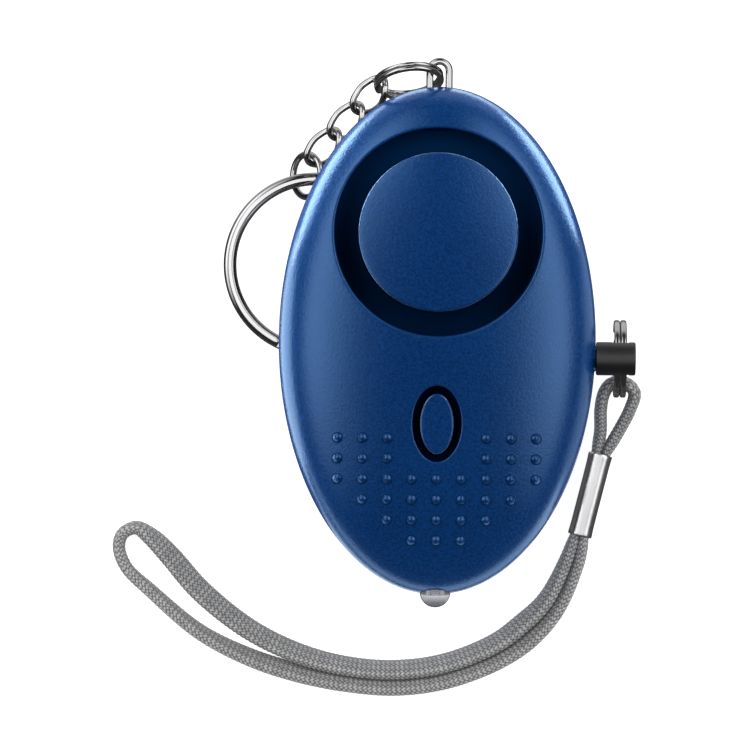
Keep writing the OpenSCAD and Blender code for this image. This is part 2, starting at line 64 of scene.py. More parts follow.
# Casing, siren, button and dots
HALF_W, HALF_L, PART_Z = 25.6, 41.0, 13.0
FRONT_D, REAR_D, POWER = 11.5, 11.35, 2.4
SIREN_Y, SIREN_R, CAP_R, FLOOR_Z, CAP_SLOT, CAP_DROP = 17.4, 16.7, 12.85, 16.5, 2.0, 0.4
BUTTON_Y, BUTTON = -13.4, (2.7, 4.85)
MOAT, MOAT_DEPTH, MOAT_GAP = 1.2, 1.2, 0.15
DOT_R, DOT_SINK, DOT_PITCH, DOT_TOP = 0.85, 0.3, (4.0, 3.3), -15.7
DOT_RIM, DOT_SOFT = 0.1, 1.3
DOT_ROWS = [(2, 4), (2, 4), (0, 4), (0, 3), (0, 2), (0, 1)]
SCREWS = [(-16, -23), (16, -23), (-19.6, 13), (19.6, 13)]
WELL_R, WELL_Z = 2.0, 8.5

# Light, pull pin, its ring and the chain's links
LED_R, LED_ROOT_Y, LED_TIP_Y = 2.5, -40.9, -43.1
PIN_Y, PIN_HEAD_X, PIN_HEAD_L, PIN_R, SHAFT_R, PIN_TIP_X = -2.7, 25.844, 6.2, 2.7, 1.5, 13.1
RING_X, RING_MEAN, RING_W, RING_T = 29.644, 5.8, 1.0, 1.05
LINK_WIRE, LINK_L, LINK_GAP, LINK_PITCH, LINK_BOW = 1.0, 8.2, 2.4, 6.0, 0.45
LINK_ROUND = 1.07


# Vectors, angles and paths
def unit(v):
    v = np.asarray(v, float)
    return v / np.linalg.norm(v)


def units(rows):
    """Each row as a unit vector."""
    return rows / np.linalg.norm(rows, axis=1, keepdims=True)


def tangents(path):
    """Directions along an open path."""
    return units(np.gradient(path, axis=0))


def distances(path):
    """Distance run along a path at each of its points."""
    return np.concatenate([[0], np.cumsum(np.linalg.norm(np.diff(path, axis=0), axis=1))])


def turned(v, axis, degrees):
    """A vector at right angles to a unit axis, turned about it."""
    a = radians(degrees)
    return v * cos(a) + np.cross(axis, v) * sin(a)


def direction(heading, rise):
    """A unit vector of a heading and a rise above the level, in degrees."""
    h, r = radians(heading), radians(rise)
    return np.array([cos(h) * cos(r), sin(h) * cos(r), sin(r)])


def basis(along, normal):
    return np.array([along, np.cross(normal, along), normal])


def smoothstep(t):
    t = np.clip(t, 0, 1)
    return t * t * (3 - 2 * t)


def full_turn(sides, shift=0.0):
    """Angles round a circle, shifted by a share of a step."""
    return 2 * pi * (np.arange(sides) + shift) / sides


def quarter_turn(steps):
    """Angles of a quarter turn with both its ends."""
    return [pi / 2 * i / steps for i in range(steps + 1)]


def circle(a):
    """Places on a flat circle of radius 1."""
    return np.stack([np.cos(a), np.sin(a), np.zeros_like(a)], 1)


def in_metres(points):
    """Places of the shared frame."""
    return (np.asarray(points, float) + SHIFT) / 1000


# Meshes and pieces
def add_to_scene(name, data):
    obj = bpy.data.objects.new(name, data)
    bpy.context.scene.collection.objects.link(obj)
    return obj


def smoothed(mesh, sharp=None):
    """Smooth shading, with hard edges where faces meet at more than sharp degrees."""
    mesh.polygons.foreach_set("use_smooth", [True] * len(mesh.polygons))
    if sharp:
        mesh.set_sharp_from_angle(angle=radians(sharp))


def piece(name, points, faces, body, material, replaced=(), slot=None, sharp=None):
    mesh = bpy.data.meshes.new(name)
    mesh.from_pydata(in_metres(points).tolist(), [], faces)
    mesh.validate()
    bm = bmesh.new()
    bm.from_mesh(mesh)
    bmesh.ops.recalc_face_normals(bm, faces=bm.faces)
    bm.to_mesh(mesh)
    bm.free()
    smoothed(mesh, sharp)
    obj = add_to_scene(name, mesh)
    obj.data.materials.append(material)
    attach(obj, body)
    if replaced:
        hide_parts(*replaced)
    return obj


def ring_faces(rings, sides, ends=(), closed=False):
    """Faces between rings of points that follow one another, and over the rings named as ends."""
    faces = []
    for ring in range(rings if closed else rings - 1):
        here = ring * sides
        there = (ring + 1) % rings * sides
        for side in range(sides):
            after = (side + 1) % sides
            faces.append((here + side, here + after, there + after, there + side))
    for ring in ends:
        faces.append(tuple(ring * sides + side for side in range(sides)))
    return faces


def capped(rings):
    """A closed form of rings of points, with a flat face over the first and the last."""
    return np.concatenate(rings), ring_faces(len(rings), len(rings[0]), (0, len(rings) - 1))


def sweep(centres, sides, ups, section, closed=False, caps=True):
    """Rings of a section along centres; a section may differ from ring to ring."""
    count = len(centres)
    rings = section if np.ndim(section) == 3 else np.repeat(section[None], count, 0)
    points = centres[:, None] + rings[:, :, :1] * sides[:, None] + rings[:, :, 1:] * ups[:, None]
    ends = (0, count - 1) if caps and not closed else ()
    return points.reshape(-1, 3), ring_faces(count, rings.shape[1], ends, closed)


def joined(*parts):
    points, faces, at = [], [], 0
    for part_points, part_faces in parts:
        points.append(part_points)
        faces += [tuple(i + at for i in face) for face in part_faces]
        at += len(part_points)
    return np.concatenate(points), faces


def placed(geometry, origin, axes):
    points, faces = geometry
    return origin + points @ axes, faces


def round_section(d, sides):
    a = full_turn(sides, 0.5)
    return d / 2 * np.stack([np.cos(a), np.sin(a)], 1)


def soft_rectangle(w, h, power, sides):
    """A rounded section, fuller in its corners the higher the power."""
    a = full_turn(sides, 0.5)
    c, s = np.cos(a), np.sin(a)
    return np.stack([w / 2 * np.sign(c) * np.abs(c) ** (2 / power),
                     h / 2 * np.sign(s) * np.abs(s) ** (2 / power)], 1)


# Materials made of nodes; depths of their bumps are in metres
GRAIN_DEPTH, FIBRE_DEPTH = 0.00005, 0.00006
PATCH_SCALE, LENS_SCALE, DRIFT_SCALE, FIBRE_SCALE, FLOOR_SCALE = 60, 500, 900, 4200, 30
ROUGH_LOW, ROUGH_HIGH = 0.85, 1.15
LENS_PAINTED_SHADES = [(0.0, 0.72), (0.3, 0.40), (0.6, 0.13), (1.0, 0.05)]
STITCH_SHADES = [(0.0, 0.02), (0.35, 0.18), (0.7, 0.45), (1.0, 0.68)]


def grey(v):
    return (v, v, v)


def shader(name, colour, rough, metallic=0.0, **more):
    mat = bpy.data.materials.new(name)
    mat.use_nodes = True
    tree = mat.node_tree
    bsdf = tree.nodes["Principled BSDF"]
    bsdf.inputs["Base Color"].default_value = (*colour, 1)
    bsdf.inputs["Roughness"].default_value = rough
    bsdf.inputs["Metallic"].default_value = metallic
    for key, value in more.items():
        bsdf.inputs[key.replace("_", " ")].default_value = value
    return mat, tree, bsdf


def noise(tree, scale, detail, stretch=None):
    coords = tree.nodes.new("ShaderNodeTexCoord")
    source = coords.outputs["Object"]
    if stretch:
        mapping = tree.nodes.new("ShaderNodeMapping")
        mapping.inputs["Scale"].default_value = stretch
        tree.links.new(source, mapping.inputs["Vector"])
        source = mapping.outputs["Vector"]
    tex = tree.nodes.new("ShaderNodeTexNoise")
    tex.inputs["Scale"].default_value = scale
    tex.inputs["Detail"].default_value = detail
    tree.links.new(source, tex.inputs["Vector"])
    return tex.outputs["Fac"]


def ramp(tree, fac, stops):
    """A ramp over stops of (place, colour), where a single number is a grey."""
    node = tree.nodes.new("ShaderNodeValToRGB")
    while len(node.color_ramp.elements) < len(stops):
        node.color_ramp.elements.new(0.5)
    for element, (at, colour) in zip(node.color_ramp.elements, stops):
        element.position = at
        element.color = (*(grey(colour) if np.isscalar(colour) else colour), 1)
    tree.links.new(fac, node.inputs["Fac"])
    return node.outputs["Color"]


def bump(tree, bsdf, height, strength, distance):
    node = tree.nodes.new("ShaderNodeBump")
    node.inputs["Strength"].default_value = strength
    node.inputs["Distance"].default_value = distance
    tree.links.new(height, node.inputs["Height"])
    tree.links.new(node.outputs["Normal"], bsdf.inputs["Normal"])


def multiplied(tree, first, second):
    mix = tree.nodes.new("ShaderNodeMix")
    mix.data_type = "RGBA"
    mix.blend_type = "MULTIPLY"
    mix.inputs["Factor"].default_value = 1.0
    tree.links.new(first, mix.inputs[6])
    tree.links.new(second, mix.inputs[7])
    return mix.outputs[2]


def grained(name, dark, light, rough, grain, strength, metallic=0.0, stretch=None, speckle=0.0, **more):
    """A material whose colour drifts slowly and whose surface has a fine grain."""
    mat, tree, bsdf = shader(name, light, rough, metallic, **more)
    colour = ramp(tree, noise(tree, PATCH_SCALE, 4), [(0.3, dark), (0.7, light)])
    fine = noise(tree, grain, 2, stretch)
    if speckle:
        colour = multiplied(tree, colour, ramp(tree, fine, [(0.3, 1 - speckle), (0.7, 1.0)]))
    tree.links.new(colour, bsdf.inputs["Base Color"])
    roughness = ramp(tree, fine, [(0.25, rough * ROUGH_LOW), (0.75, min(1, rough * ROUGH_HIGH))])
    tree.links.new(roughness, bsdf.inputs["Roughness"])
    bump(tree, bsdf, fine, strength, GRAIN_DEPTH)
    return mat


blue = grained("casing_blue", dark=(0.0034, 0.049, 0.214), light=(0.0042, 0.059, 0.248), rough=0.21,
               grain=2600, strength=0.7, speckle=0.45,
               Specular_IOR_Level=1.0, Specular_Tint=(0.28, 0.55, 1.0, 1))
# Painted shade: darker blues for the groove, round the dots and on the cap's sides, and darkest for the moat
painted_shade_blue = grained("groove_shade_blue", dark=(0.0008, 0.020, 0.070), light=(0.0012, 0.025, 0.093), rough=0.45,
                    grain=3600, strength=0.2, Specular_IOR_Level=0.0)
moat_shade_blue = grained("moat_shade_blue", dark=(0.0002, 0.003, 0.014), light=(0.0003, 0.004, 0.019), rough=0.5,
                    grain=3600, strength=0.2, Specular_IOR_Level=0.0)
black = grained("black_plastic", dark=(0.006, 0.006, 0.007), light=(0.011, 0.011, 0.012), rough=0.38,
                grain=2600, strength=0.2)
white = grained("tray_white", dark=(0.62, 0.62, 0.60), light=(0.72, 0.72, 0.70), rough=0.5,
                grain=1800, strength=0.15)
foam = grained("foam_white", dark=(0.58, 0.56, 0.50), light=(0.68, 0.66, 0.60), rough=0.85,
               grain=1200, strength=0.5)
brass = grained("brass", dark=(0.55, 0.38, 0.12), light=(0.68, 0.50, 0.20), rough=0.28,
                grain=2200, strength=0.1, metallic=1.0, stretch=(1, 0.1, 1))
board = grained("board_green", dark=(0.02, 0.11, 0.035), light=(0.035, 0.16, 0.055), rough=0.3,
                grain=900, strength=0.2)
coil = grained("coil_brown", dark=(0.10, 0.045, 0.02), light=(0.19, 0.09, 0.04), rough=0.3,
               grain=1500, strength=0.3, stretch=(0.2, 0.2, 4))
steel = grained("steel", dark=(0.48, 0.48, 0.50), light=(0.62, 0.62, 0.64), rough=0.28,
                grain=1800, strength=0.12, metallic=1.0, stretch=(1, 0.15, 1))
chrome = grained("chrome", dark=(0.36, 0.36, 0.365), light=(0.44, 0.44, 0.445), rough=0.10,
                 grain=1300, strength=0.06, metallic=1.0)
sleeve = grained("sleeve_metal", dark=(0.54, 0.54, 0.55), light=(0.65, 0.65, 0.66), rough=0.30,
                 grain=900, strength=0.10, metallic=1.0, stretch=(6, 0.25, 6))
# Painted shade for the mouth of the pin's hole
hole_shade_black = grained("hole_shade_black", dark=(0.002, 0.003, 0.006), light=(0.003, 0.004, 0.009), rough=0.7,
                    grain=1500, strength=0.2)


def clear_lens():
    """Clear resin of the light, with a painted gradient of light and shade: paler at its root, darker
    towards the tip.
    """
    mat, tree, bsdf = shader("clear_lens", grey(0.5), rough=0.05, Transmission_Weight=0.8, IOR=1.5,
                             Coat_Weight=1.0, Coat_Roughness=0.04)
    coords = tree.nodes.new("ShaderNodeTexCoord")
    split = tree.nodes.new("ShaderNodeSeparateXYZ")
    tree.links.new(coords.outputs["Object"], split.inputs["Vector"])
    along = tree.nodes.new("ShaderNodeMapRange")
    along.inputs["From Min"].default_value = in_metres((0, LED_ROOT_Y, 0))[1]
    along.inputs["From Max"].default_value = in_metres((0, LED_TIP_Y, 0))[1]
    tree.links.new(split.outputs["Y"], along.inputs["Value"])
    tree.links.new(ramp(tree, along.outputs["Result"], LENS_PAINTED_SHADES), bsdf.inputs["Base Color"])
    roughness = ramp(tree, noise(tree, LENS_SCALE, 2), [(0.3, 0.03), (0.8, 0.07)])
    tree.links.new(roughness, bsdf.inputs["Roughness"])
    return mat


def braid():
    """Grey yarn with painted light and shade: lighter on top of each stitch, darker between stitches and on
    the strap's flat sides, with a fine rough grain.
    """
    mat, tree, bsdf = shader("strap_grey", (0.24, 0.24, 0.245), rough=0.72,
                             Sheen_Weight=0.25, Sheen_Roughness=0.5)
    lift = tree.nodes.new("ShaderNodeAttribute")
    lift.attribute_name = "stitch_shade"
    base = ramp(tree, lift.outputs["Fac"], STITCH_SHADES)
    drift = ramp(tree, noise(tree, DRIFT_SCALE, 3), [(0.25, 0.72), (0.75, 1.0)])
    tree.links.new(multiplied(tree, base, drift), bsdf.inputs["Base Color"])
    bump(tree, bsdf, noise(tree, FIBRE_SCALE, 3), 0.35, FIBRE_DEPTH)
    return mat


lens = clear_lens()
yarn = braid()


# The casing: a dome with a groove, a moat and dots, meshed along these features
def dome_height(x, y, depth):
    q = np.clip((np.asarray(x) / HALF_W) ** 2 + (np.asarray(y) / HALF_L) ** 2, 0, 1) ** (POWER / 2)
    return depth * np.sqrt(1 - q)


def dome_normals(x, y, h, depth):
    rho = np.maximum(np.hypot(x / HALF_W, y / HALF_L), 1e-6)
    k = POWER * rho ** (POWER - 2)
    return units(np.stack([k * x / HALF_W ** 2, k * y / HALF_L ** 2, 2 * h / depth ** 2], 1))


# Slope of the dome from its rim to its top, and half sizes of the plane that it is unrolled to
PLANE_HALF = (30, 45)
ANGLES = np.linspace(0, pi / 2, 400)
PROFILE = np.stack([PLANE_HALF[0] * np.cos(ANGLES) ** (2 / POWER), FRONT_D * np.sin(ANGLES)], 1)
ARC = distances(PROFILE)


def unrolled(x, y):
    """A place on the dome in a plane that keeps distances along its slope."""
    rho = np.clip(np.hypot(x / HALF_W, y / HALF_L), 0, 1)
    a = np.arccos(np.clip(rho ** (POWER / 2), 0, 1))
    t = 1 - np.interp(a, ANGLES, ARC) / ARC[-1]
    angle = np.arctan2(y / HALF_L, x / HALF_W)
    return np.stack([t * PLANE_HALF[0] * np.cos(angle), t * PLANE_HALF[1] * np.sin(angle)], 1)


# Rings that fill the dome: distances along its slope from the rim and, for the last, from the top
RIM_ARC, FIRST_ARC, LAST_ARC = 0.1, 0.3, 0.4
MEAN_HALF, FEWEST_POINTS, STEP_ROUND = 34, 12, 1.1
DISC_SHARES, DISC_POINTS, DISC_FEWEST = (0.75, 0.5, 0.25), 40, 8
FEATURE_MARGIN, MERGE_DISTANCE = 0.3, 1e-7


class Half:
    """Points of one half of the casing, gathered ring by ring."""

    def __init__(self, depth):
        self.depth = depth
        self.xy, self.h, self.plain = [], [], []
        self.edges, self.keep_off = [], []
        self.count = 0

    def add(self, xy, h, plain, ring=False):
        n = len(xy)
        self.xy.append(np.asarray(xy, float))
        self.h.append(np.asarray(h, float))
        self.plain.append(np.full(n, plain))
        if ring:
            self.edges += [(self.count + i, self.count + (i + 1) % n) for i in range(n)]
        self.count += n

    def feature(self, centre, radii, sides, rings, margin=FEATURE_MARGIN):
        """Rings round an ellipse: (offset outwards, drop, level or None, share of the way to the level)."""
        a = full_turn(sides)
        for offset, drop, level, share in rings:
            x = centre[0] + (radii[0] + offset) * np.cos(a)
            y = centre[1] + (radii[1] + offset) * np.sin(a)
            h = dome_height(x, y, self.depth) - drop
            if level is not None:
                h = h + (level - h) * share
            self.add(np.stack([x, y], 1), h, False, True)
        widest = max(ring[0] for ring in rings)
        self.keep_off.append((centre, radii[0] + widest + margin, radii[1] + widest + margin))

    def disc(self, centre, radii, level):
        for share in DISC_SHARES:
            n = max(DISC_FEWEST, int(DISC_POINTS * share))
            a = full_turn(n)
            x = centre[0] + radii[0] * share * np.cos(a)
            y = centre[1] + radii[1] * share * np.sin(a)
            self.add(np.stack([x, y], 1), np.full(n, level), False)
        self.add([centre], [level], False)

    def fill(self, step):
        """Rings over the whole dome, left out where a feature is."""
        arcs = np.linspace(FIRST_ARC, ARC[-1] - LAST_ARC, int(ARC[-1] / step))
        for i, arc in enumerate(np.concatenate([[RIM_ARC], arcs])):
            a = np.interp(arc, ARC, ANGLES)
            rho = cos(a) ** (2 / POWER)
            n = max(FEWEST_POINTS, int(2 * pi * MEAN_HALF * rho / (step * STEP_ROUND)))
            t = full_turn(n, 0.5 * (i % 2))
            x = HALF_W * rho * np.cos(t)
            y = HALF_L * rho * np.sin(t)
            free = np.ones(n, bool)
            if i:
                for centre, rx, ry in self.keep_off:
                    free &= ((x - centre[0]) / rx) ** 2 + ((y - centre[1]) / ry) ** 2 > 1
            self.add(np.stack([x, y], 1)[free], dome_height(x, y, self.depth)[free], True, i == 0)
        self.add([(0.0, 0.0)], [self.depth], True)

    def mesh(self):
        xy, h, plain = np.concatenate(self.xy), np.concatenate(self.h), np.concatenate(self.plain)
        plane = unrolled(xy[:, 0], xy[:, 1])
        out = delaunay_2d_cdt([Vector(p) for p in plane.tolist()], self.edges, [], 0, MERGE_DISTANCE)
        first = [ids[0] if ids else None for ids in out[3]]
        faces = [tuple(first[i] for i in f) for f in out[2]]
        faces = [f for f in faces if None not in f and len(set(f)) == 3]
        return xy, h, plain, faces


# The lip that turns inwards at the seam between the halves
LIP, LIP_STEP, RIM_HEIGHT = 0.14, 0.02, 0.2


def casing_half(name, half, sign, replaced):
    xy, h, plain, faces = half.mesh()
    n = len(xy)
    points = np.stack([xy[:, 0], xy[:, 1], PART_Z + sign * h], 1)
    rim = [i for i in range(n) if plain[i] and h[i] < RIM_HEIGHT]
    rim.sort(key=lambda i: atan2(xy[i, 1] / HALF_L, xy[i, 0] / HALF_W))
    lip_z = PART_Z + sign * LIP_STEP
    inner = [(xy[i, 0] * (1 - LIP / HALF_W), xy[i, 1] * (1 - LIP / HALF_L), lip_z) for i in rim]
    strip = [(rim[i], rim[(i + 1) % len(rim)], n + (i + 1) % len(rim), n + i) for i in range(len(rim))]
    points = np.concatenate([points, inner])
    obj = piece(name, points, faces + strip, "alarm", blue, replaced, "casing_blue")
    mesh = obj.data
    if mesh.polygons[0].normal.z * sign < 0:
        mesh.flip_normals()
    normals = np.zeros(len(mesh.vertices) * 3)
    mesh.vertices.foreach_get("normal", normals)
    normals = normals.reshape(-1, 3)
    exact = dome_normals(xy[:, 0], xy[:, 1], h, half.depth)
    exact[:, 2] *= sign
    normals[:n][plain] = exact[plain]
    mesh.normals_split_custom_set_from_vertices(normals.tolist())
    # The casing stays out of the metal's reflections
    obj.visible_glossy = False
    return obj


def rounded_edge(radius, steps):
    """Rings of a feature's rounded edge, from the dome to the wall."""
    return [(radius * (1 - sin(t)), radius * (1 - cos(t)), None, 0) for t in quarter_turn(steps)]


def wall(edge, level, steps):
    """Rings of a feature's wall under its edge: (distance inwards, share of the way to a level)."""
    return [(-inwards, edge, level, share) for inwards, share in steps]


GROOVE_EDGE, GROOVE_FLOOR = 0.6, 6
GROOVE_WALL = [(0.02, 0.15), (0.06, 0.5), (0.12, 0.85), (0.2, 0.95),
               (0.4, 0.99), (0.7, 1.0), (2.5, 1.0), (5.0, 1.0)]
MOAT_EDGE, MOAT_FLOOR = 0.3, MOAT - MOAT_GAP
MOAT_WALL = [(0.03, 0.5), (0.1, 0.9), (0.25, 1.0), (MOAT_FLOOR, 1.0)]
BUTTON_WELL, BUTTON_WELL_FLOOR, BUTTON_WELL_WALL = 1.4, (2.4, 4.4), 0.03
DOT_SHARES = (1.0, 0.93, 0.84, 0.74, 0.62, 0.5, 0.36, 0.2)
DOT_SIDES, DOT_MARGIN = 20, 0.15
WELL_EDGE, WELL_FLOOR = 0.3, 0.4
WELL_WALL = [(0.02, 0.3), (0.05, 0.9), (0.15, 1.0)]
# Reach of the painted shade beyond the edges of the groove and the moat
GROOVE_SHADE_REACH, MOAT_SHADE_REACH = 0.12, 0.08
FRONT_STEP, REAR_STEP = 0.75, 0.9

dots = []
for row, (low, high) in enumerate(DOT_ROWS):
    for column in range(low, high + 1):
        for side in ((-1, 1) if column else (1,)):
            dots.append((side * column * DOT_PITCH[0], DOT_TOP - row * DOT_PITCH[1]))

front = Half(FRONT_D)
floor_h = FLOOR_Z - PART_Z
groove_rings = rounded_edge(GROOVE_EDGE, steps=6) + wall(GROOVE_EDGE, floor_h, GROOVE_WALL)
front.feature((0, SIREN_Y), (SIREN_R, SIREN_R), sides=240, rings=groove_rings)
front.disc((0, SIREN_Y), (SIREN_R - GROOVE_FLOOR, SIREN_R - GROOVE_FLOOR), floor_h)
moat_h = float(dome_height(0, BUTTON_Y, FRONT_D)) - MOAT_DEPTH
moat_radii = (BUTTON[0] + MOAT, BUTTON[1] + MOAT)
moat_rings = rounded_edge(MOAT_EDGE, steps=4) + wall(MOAT_EDGE, moat_h, MOAT_WALL)
moat_rings += wall(MOAT_EDGE, moat_h - BUTTON_WELL, [(MOAT_FLOOR + BUTTON_WELL_WALL, 1.0)])
front.feature((0, BUTTON_Y), moat_radii, sides=120, rings=moat_rings)
front.disc((0, BUTTON_Y), BUTTON_WELL_FLOOR, moat_h - BUTTON_WELL)
dot_edge = sqrt(DOT_R ** 2 - DOT_SINK ** 2)
dot_reach = dot_edge + DOT_RIM
dot_height = DOT_R - DOT_SINK
dot_rings = [(dot_reach + DOT_RIM, 0.0, None, 0)]
dot_rings += [(share * dot_reach, -dot_height * cos(pi / 2 * share) ** DOT_SOFT, None, 0)
              for share in DOT_SHARES]
for x, y in dots:
    front.feature((x, y), (0, 0), DOT_SIDES, dot_rings, DOT_MARGIN)
    front.add([(x, y)], [float(dome_height(x, y, FRONT_D)) + dot_height], False)
front.fill(FRONT_STEP)
front_obj = casing_half("front_shell_visual", front, 1, ["front_shell"])

# Painted shade: darker blue in the groove and in a thin ring round each dot, and darkest in the moat
front_obj.data.materials.append(painted_shade_blue)
front_obj.data.materials.append(moat_shade_blue)
for polygon in front_obj.data.polygons:
    c = polygon.center * 1000 - Vector(SHIFT)
    if hypot(c.x, c.y - SIREN_Y) < SIREN_R + GROOVE_SHADE_REACH:
        polygon.material_index = 1
    if hypot(c.x / (moat_radii[0] + MOAT_SHADE_REACH), (c.y - BUTTON_Y) / (moat_radii[1] + MOAT_SHADE_REACH)) < 1:
        polygon.material_index = 2
    if abs(min(hypot(c.x - x, c.y - y) for x, y in dots) - dot_edge) < DOT_RIM:
        polygon.material_index = 1

rear = Half(REAR_D)
well_h = PART_Z - WELL_Z
well_rings = rounded_edge(WELL_EDGE, steps=4) + wall(WELL_EDGE, well_h, WELL_WALL)
for x, y in SCREWS:
    rear.feature((x, y), (WELL_R, WELL_R), sides=48, rings=well_rings)
    rear.disc((x, y), (WELL_R - WELL_FLOOR, WELL_R - WELL_FLOOR), well_h)
rear.fill(REAR_STEP)
casing_half("rear_cover_visual", rear, -1, ["rear_cover"])

# A rim round the pin's hole and a near-black disc in its mouth, which is painted shade of the hole: radius,
# and distance out of the casing's side
HOLE_SIDES, HOLE_SHARP = 48, 50
HOLE_X = PIN_HEAD_X - 0.3
HOLE_RIM = [(1.62, -1.2), (1.62, 0.02), (1.70, 0.08), (1.95, 0.08), (2.1, -0.02), (2.15, -0.6)]
HOLE_SHADE = [(1.64, 0.015), (1.57, 0.03), (1.55, 0.025)]


def hole_piece(name, rows, ends, material, slot):
    a = full_turn(HOLE_SIDES)
    rings = [np.stack([np.full(HOLE_SIDES, HOLE_X + out), PIN_Y + r * np.cos(a), PART_Z + r * np.sin(a)], 1)
             for r, out in rows]
    faces = ring_faces(len(rows), HOLE_SIDES, ends)
    piece(name, np.concatenate(rings), faces, "alarm", material, (), slot, HOLE_SHARP)


hole_piece("pin_hole_rim", HOLE_RIM, (), blue, "casing_blue")
hole_piece("pin_hole_dark", HOLE_SHADE, (len(HOLE_SHADE) - 1,), hole_shade_black, "black_plastic")

# The siren's cap and the button, as rings about their own middle
CAP_EDGE, CAP_UNDER, CAP_BEVEL, CAP_SHADE_NORMAL_Z, CAP_SHARP = 0.45, 0.8, 0.15, 0.35, 60
LEG_ANGLES, LEG_IN, LEG_R, LEG_OVER = (30, 150, 270), 3, 1.5, 0.3
BUTTON_EDGE, BUTTON_CROWN, BUTTON_BEVEL, BUTTON_FOOT, BUTTON_SIDE = 0.32, 0.10, 0.4, 2.6, 2.5
BUTTON_SHARES = (0.9, 0.7, 0.5, 0.3, 0.1)


def topped(centre, radii, rows, sides):
    """Rows of (offset outwards from the radii, share of them, height function)."""
    a = full_turn(sides)
    rings = []
    for offset, share, height in rows:
        x = centre[0] + (radii[0] + offset) * share * np.cos(a)
        y = centre[1] + (radii[1] + offset) * share * np.sin(a)
        rings.append(np.stack([x, y, height(x, y)], 1))
    return capped(rings)


def rounded_rows(edge, steps, top):
    """Rows of a rounded upper edge, from the side to the top."""
    return [(-edge * (1 - cos(t)), 1, top(edge * (1 - sin(t)))) for t in quarter_turn(steps)]


def cap_top(drop):
    return lambda x, y: PART_Z + dome_height(x, y, FRONT_D) - CAP_DROP - drop


def button_top(drop):
    def height(x, y):
        return button_z - drop - BUTTON_CROWN * ((x / BUTTON[0]) ** 2 + ((y - BUTTON_Y) / BUTTON[1]) ** 2)

    return height


def at_height(z):
    return lambda x, y: np.full(len(x), z)


cap_under = FLOOR_Z + CAP_SLOT
rows = [(-CAP_UNDER, 1, at_height(cap_under)), (-CAP_BEVEL, 1, at_height(cap_under)),
        (0, 1, at_height(cap_under + CAP_BEVEL))]
rows += rounded_rows(CAP_EDGE, 6, cap_top)
rows += [(-CAP_EDGE, share, cap_top(0)) for share in np.linspace(0.94, 0.04, 16)]
cap = [topped((0, SIREN_Y), (CAP_R, CAP_R), rows, sides=200)]
for angle in LEG_ANGLES:
    a = radians(angle)
    leg_at = (cos(a) * (CAP_R - LEG_IN), SIREN_Y + sin(a) * (CAP_R - LEG_IN))
    leg_rows = [(0, 1, at_height(FLOOR_Z)), (0, 1, at_height(cap_under + LEG_OVER))]
    cap.append(topped(leg_at, (LEG_R, LEG_R), leg_rows, sides=24))
cap_obj = piece("siren_cap_visual", *joined(*cap), "alarm", blue, ["siren_cap"], "casing_blue", CAP_SHARP)
# Painted shade: the cap's steep faces, its sides, underside and legs, in the darker blue
cap_obj.data.materials.append(painted_shade_blue)
for polygon in cap_obj.data.polygons:
    if polygon.normal.z < CAP_SHADE_NORMAL_Z:
        polygon.material_index = 1

button_z = PART_Z + float(dome_height(0, BUTTON_Y, FRONT_D))
rows = [(-BUTTON_BEVEL, 1, at_height(button_z - BUTTON_FOOT)), (0, 1, at_height(button_z - BUTTON_SIDE))]
rows += rounded_rows(BUTTON_EDGE, 5, button_top)
rows += [(-BUTTON_EDGE, share, button_top(0)) for share in BUTTON_SHARES]
button = topped((0, BUTTON_Y), BUTTON, rows, sides=96)
piece("led_button_visual", *button, "button", blue, ["led_button"], "casing_blue", CAP_SHARP)

# Pieces turned about an axis; no axis here lies along OFF_AXIS
OFF_AXIS = [0.3, 0.5, 0.8]


def turned_piece(origin, axis, profile, sides):
    """Profile of (distance along the axis, radius), closed at both ends."""
    axis = unit(axis)
    u = unit(np.cross(axis, OFF_AXIS))
    v = np.cross(axis, u)
    a = full_turn(sides)
    out = np.cos(a)[:, None] * u + np.sin(a)[:, None] * v
    return capped([origin + d * axis + r * out for d, r in profile])


# The light: a clear lens with a small cup and a post inside it, along an axis that leaves the casing
LED_AXIS, LED_SHARP, LED_POINT_R = (0, -1, 0), 40, 0.03
LED_FLANGE = [(34.6, 2.86), (34.7, 2.9), (35.5, 2.9), (35.6, 2.86), (35.62, LED_R)]
CUP_X, CUP = 0.35, [(36.2, 0.45), (38.6, 0.5), (39.0, 0.95), (39.2, 1.0), (39.2, 0.85), (38.9, 0.4)]
POST_X, POST = -1.0, [(36.2, 0.3), (38.4, 0.3), (39.0, 0.5), (39.2, 0.45)]

led_dome = -LED_TIP_Y - LED_R
led_profile = LED_FLANGE + [(led_dome + LED_R * sin(t), max(LED_R * cos(t), LED_POINT_R))
                            for t in quarter_turn(14)]
led = turned_piece((0, 0, PART_Z), LED_AXIS, led_profile, sides=48)
piece("led_visual", *led, "alarm", lens, ["led"], "clear_lens", LED_SHARP)
cup = turned_piece((CUP_X, 0, PART_Z), LED_AXIS, CUP, sides=24)
post = turned_piece((POST_X, 0, PART_Z), LED_AXIS, POST, sides=16)
piece("led_cup", *joined(cup, post), "alarm", steel, (), "steel", LED_SHARP)

# The pull pin: a turned pin whose head has a slot for the ring
PIN_BEVEL, PIN_SEAT, PIN_SHARP = 0.28, 0.2, 35
PIN_POINT = [(0, 0.9), (0.2, 1.25), (0.6, SHAFT_R)]
PIN_DIMPLE = [(0, 1.6), (0.12, 1.5), (0.12, 0.1)]
SLOT_SIZE, SLOT_Z = (2.7, 20, 2.6), 12.4


def slot_cutter():
    mesh = bpy.data.meshes.new("slot_cutter")
    bm = bmesh.new()
    bmesh.ops.create_cube(bm, size=1)
    bmesh.ops.scale(bm, vec=[size / 1000 for size in SLOT_SIZE], verts=bm.verts)
    bmesh.ops.translate(bm, vec=in_metres((RING_X, PIN_Y, SLOT_Z)).tolist(), verts=bm.verts)
    bm.to_mesh(mesh)
    bm.free()
    return add_to_scene("slot_cutter", mesh)


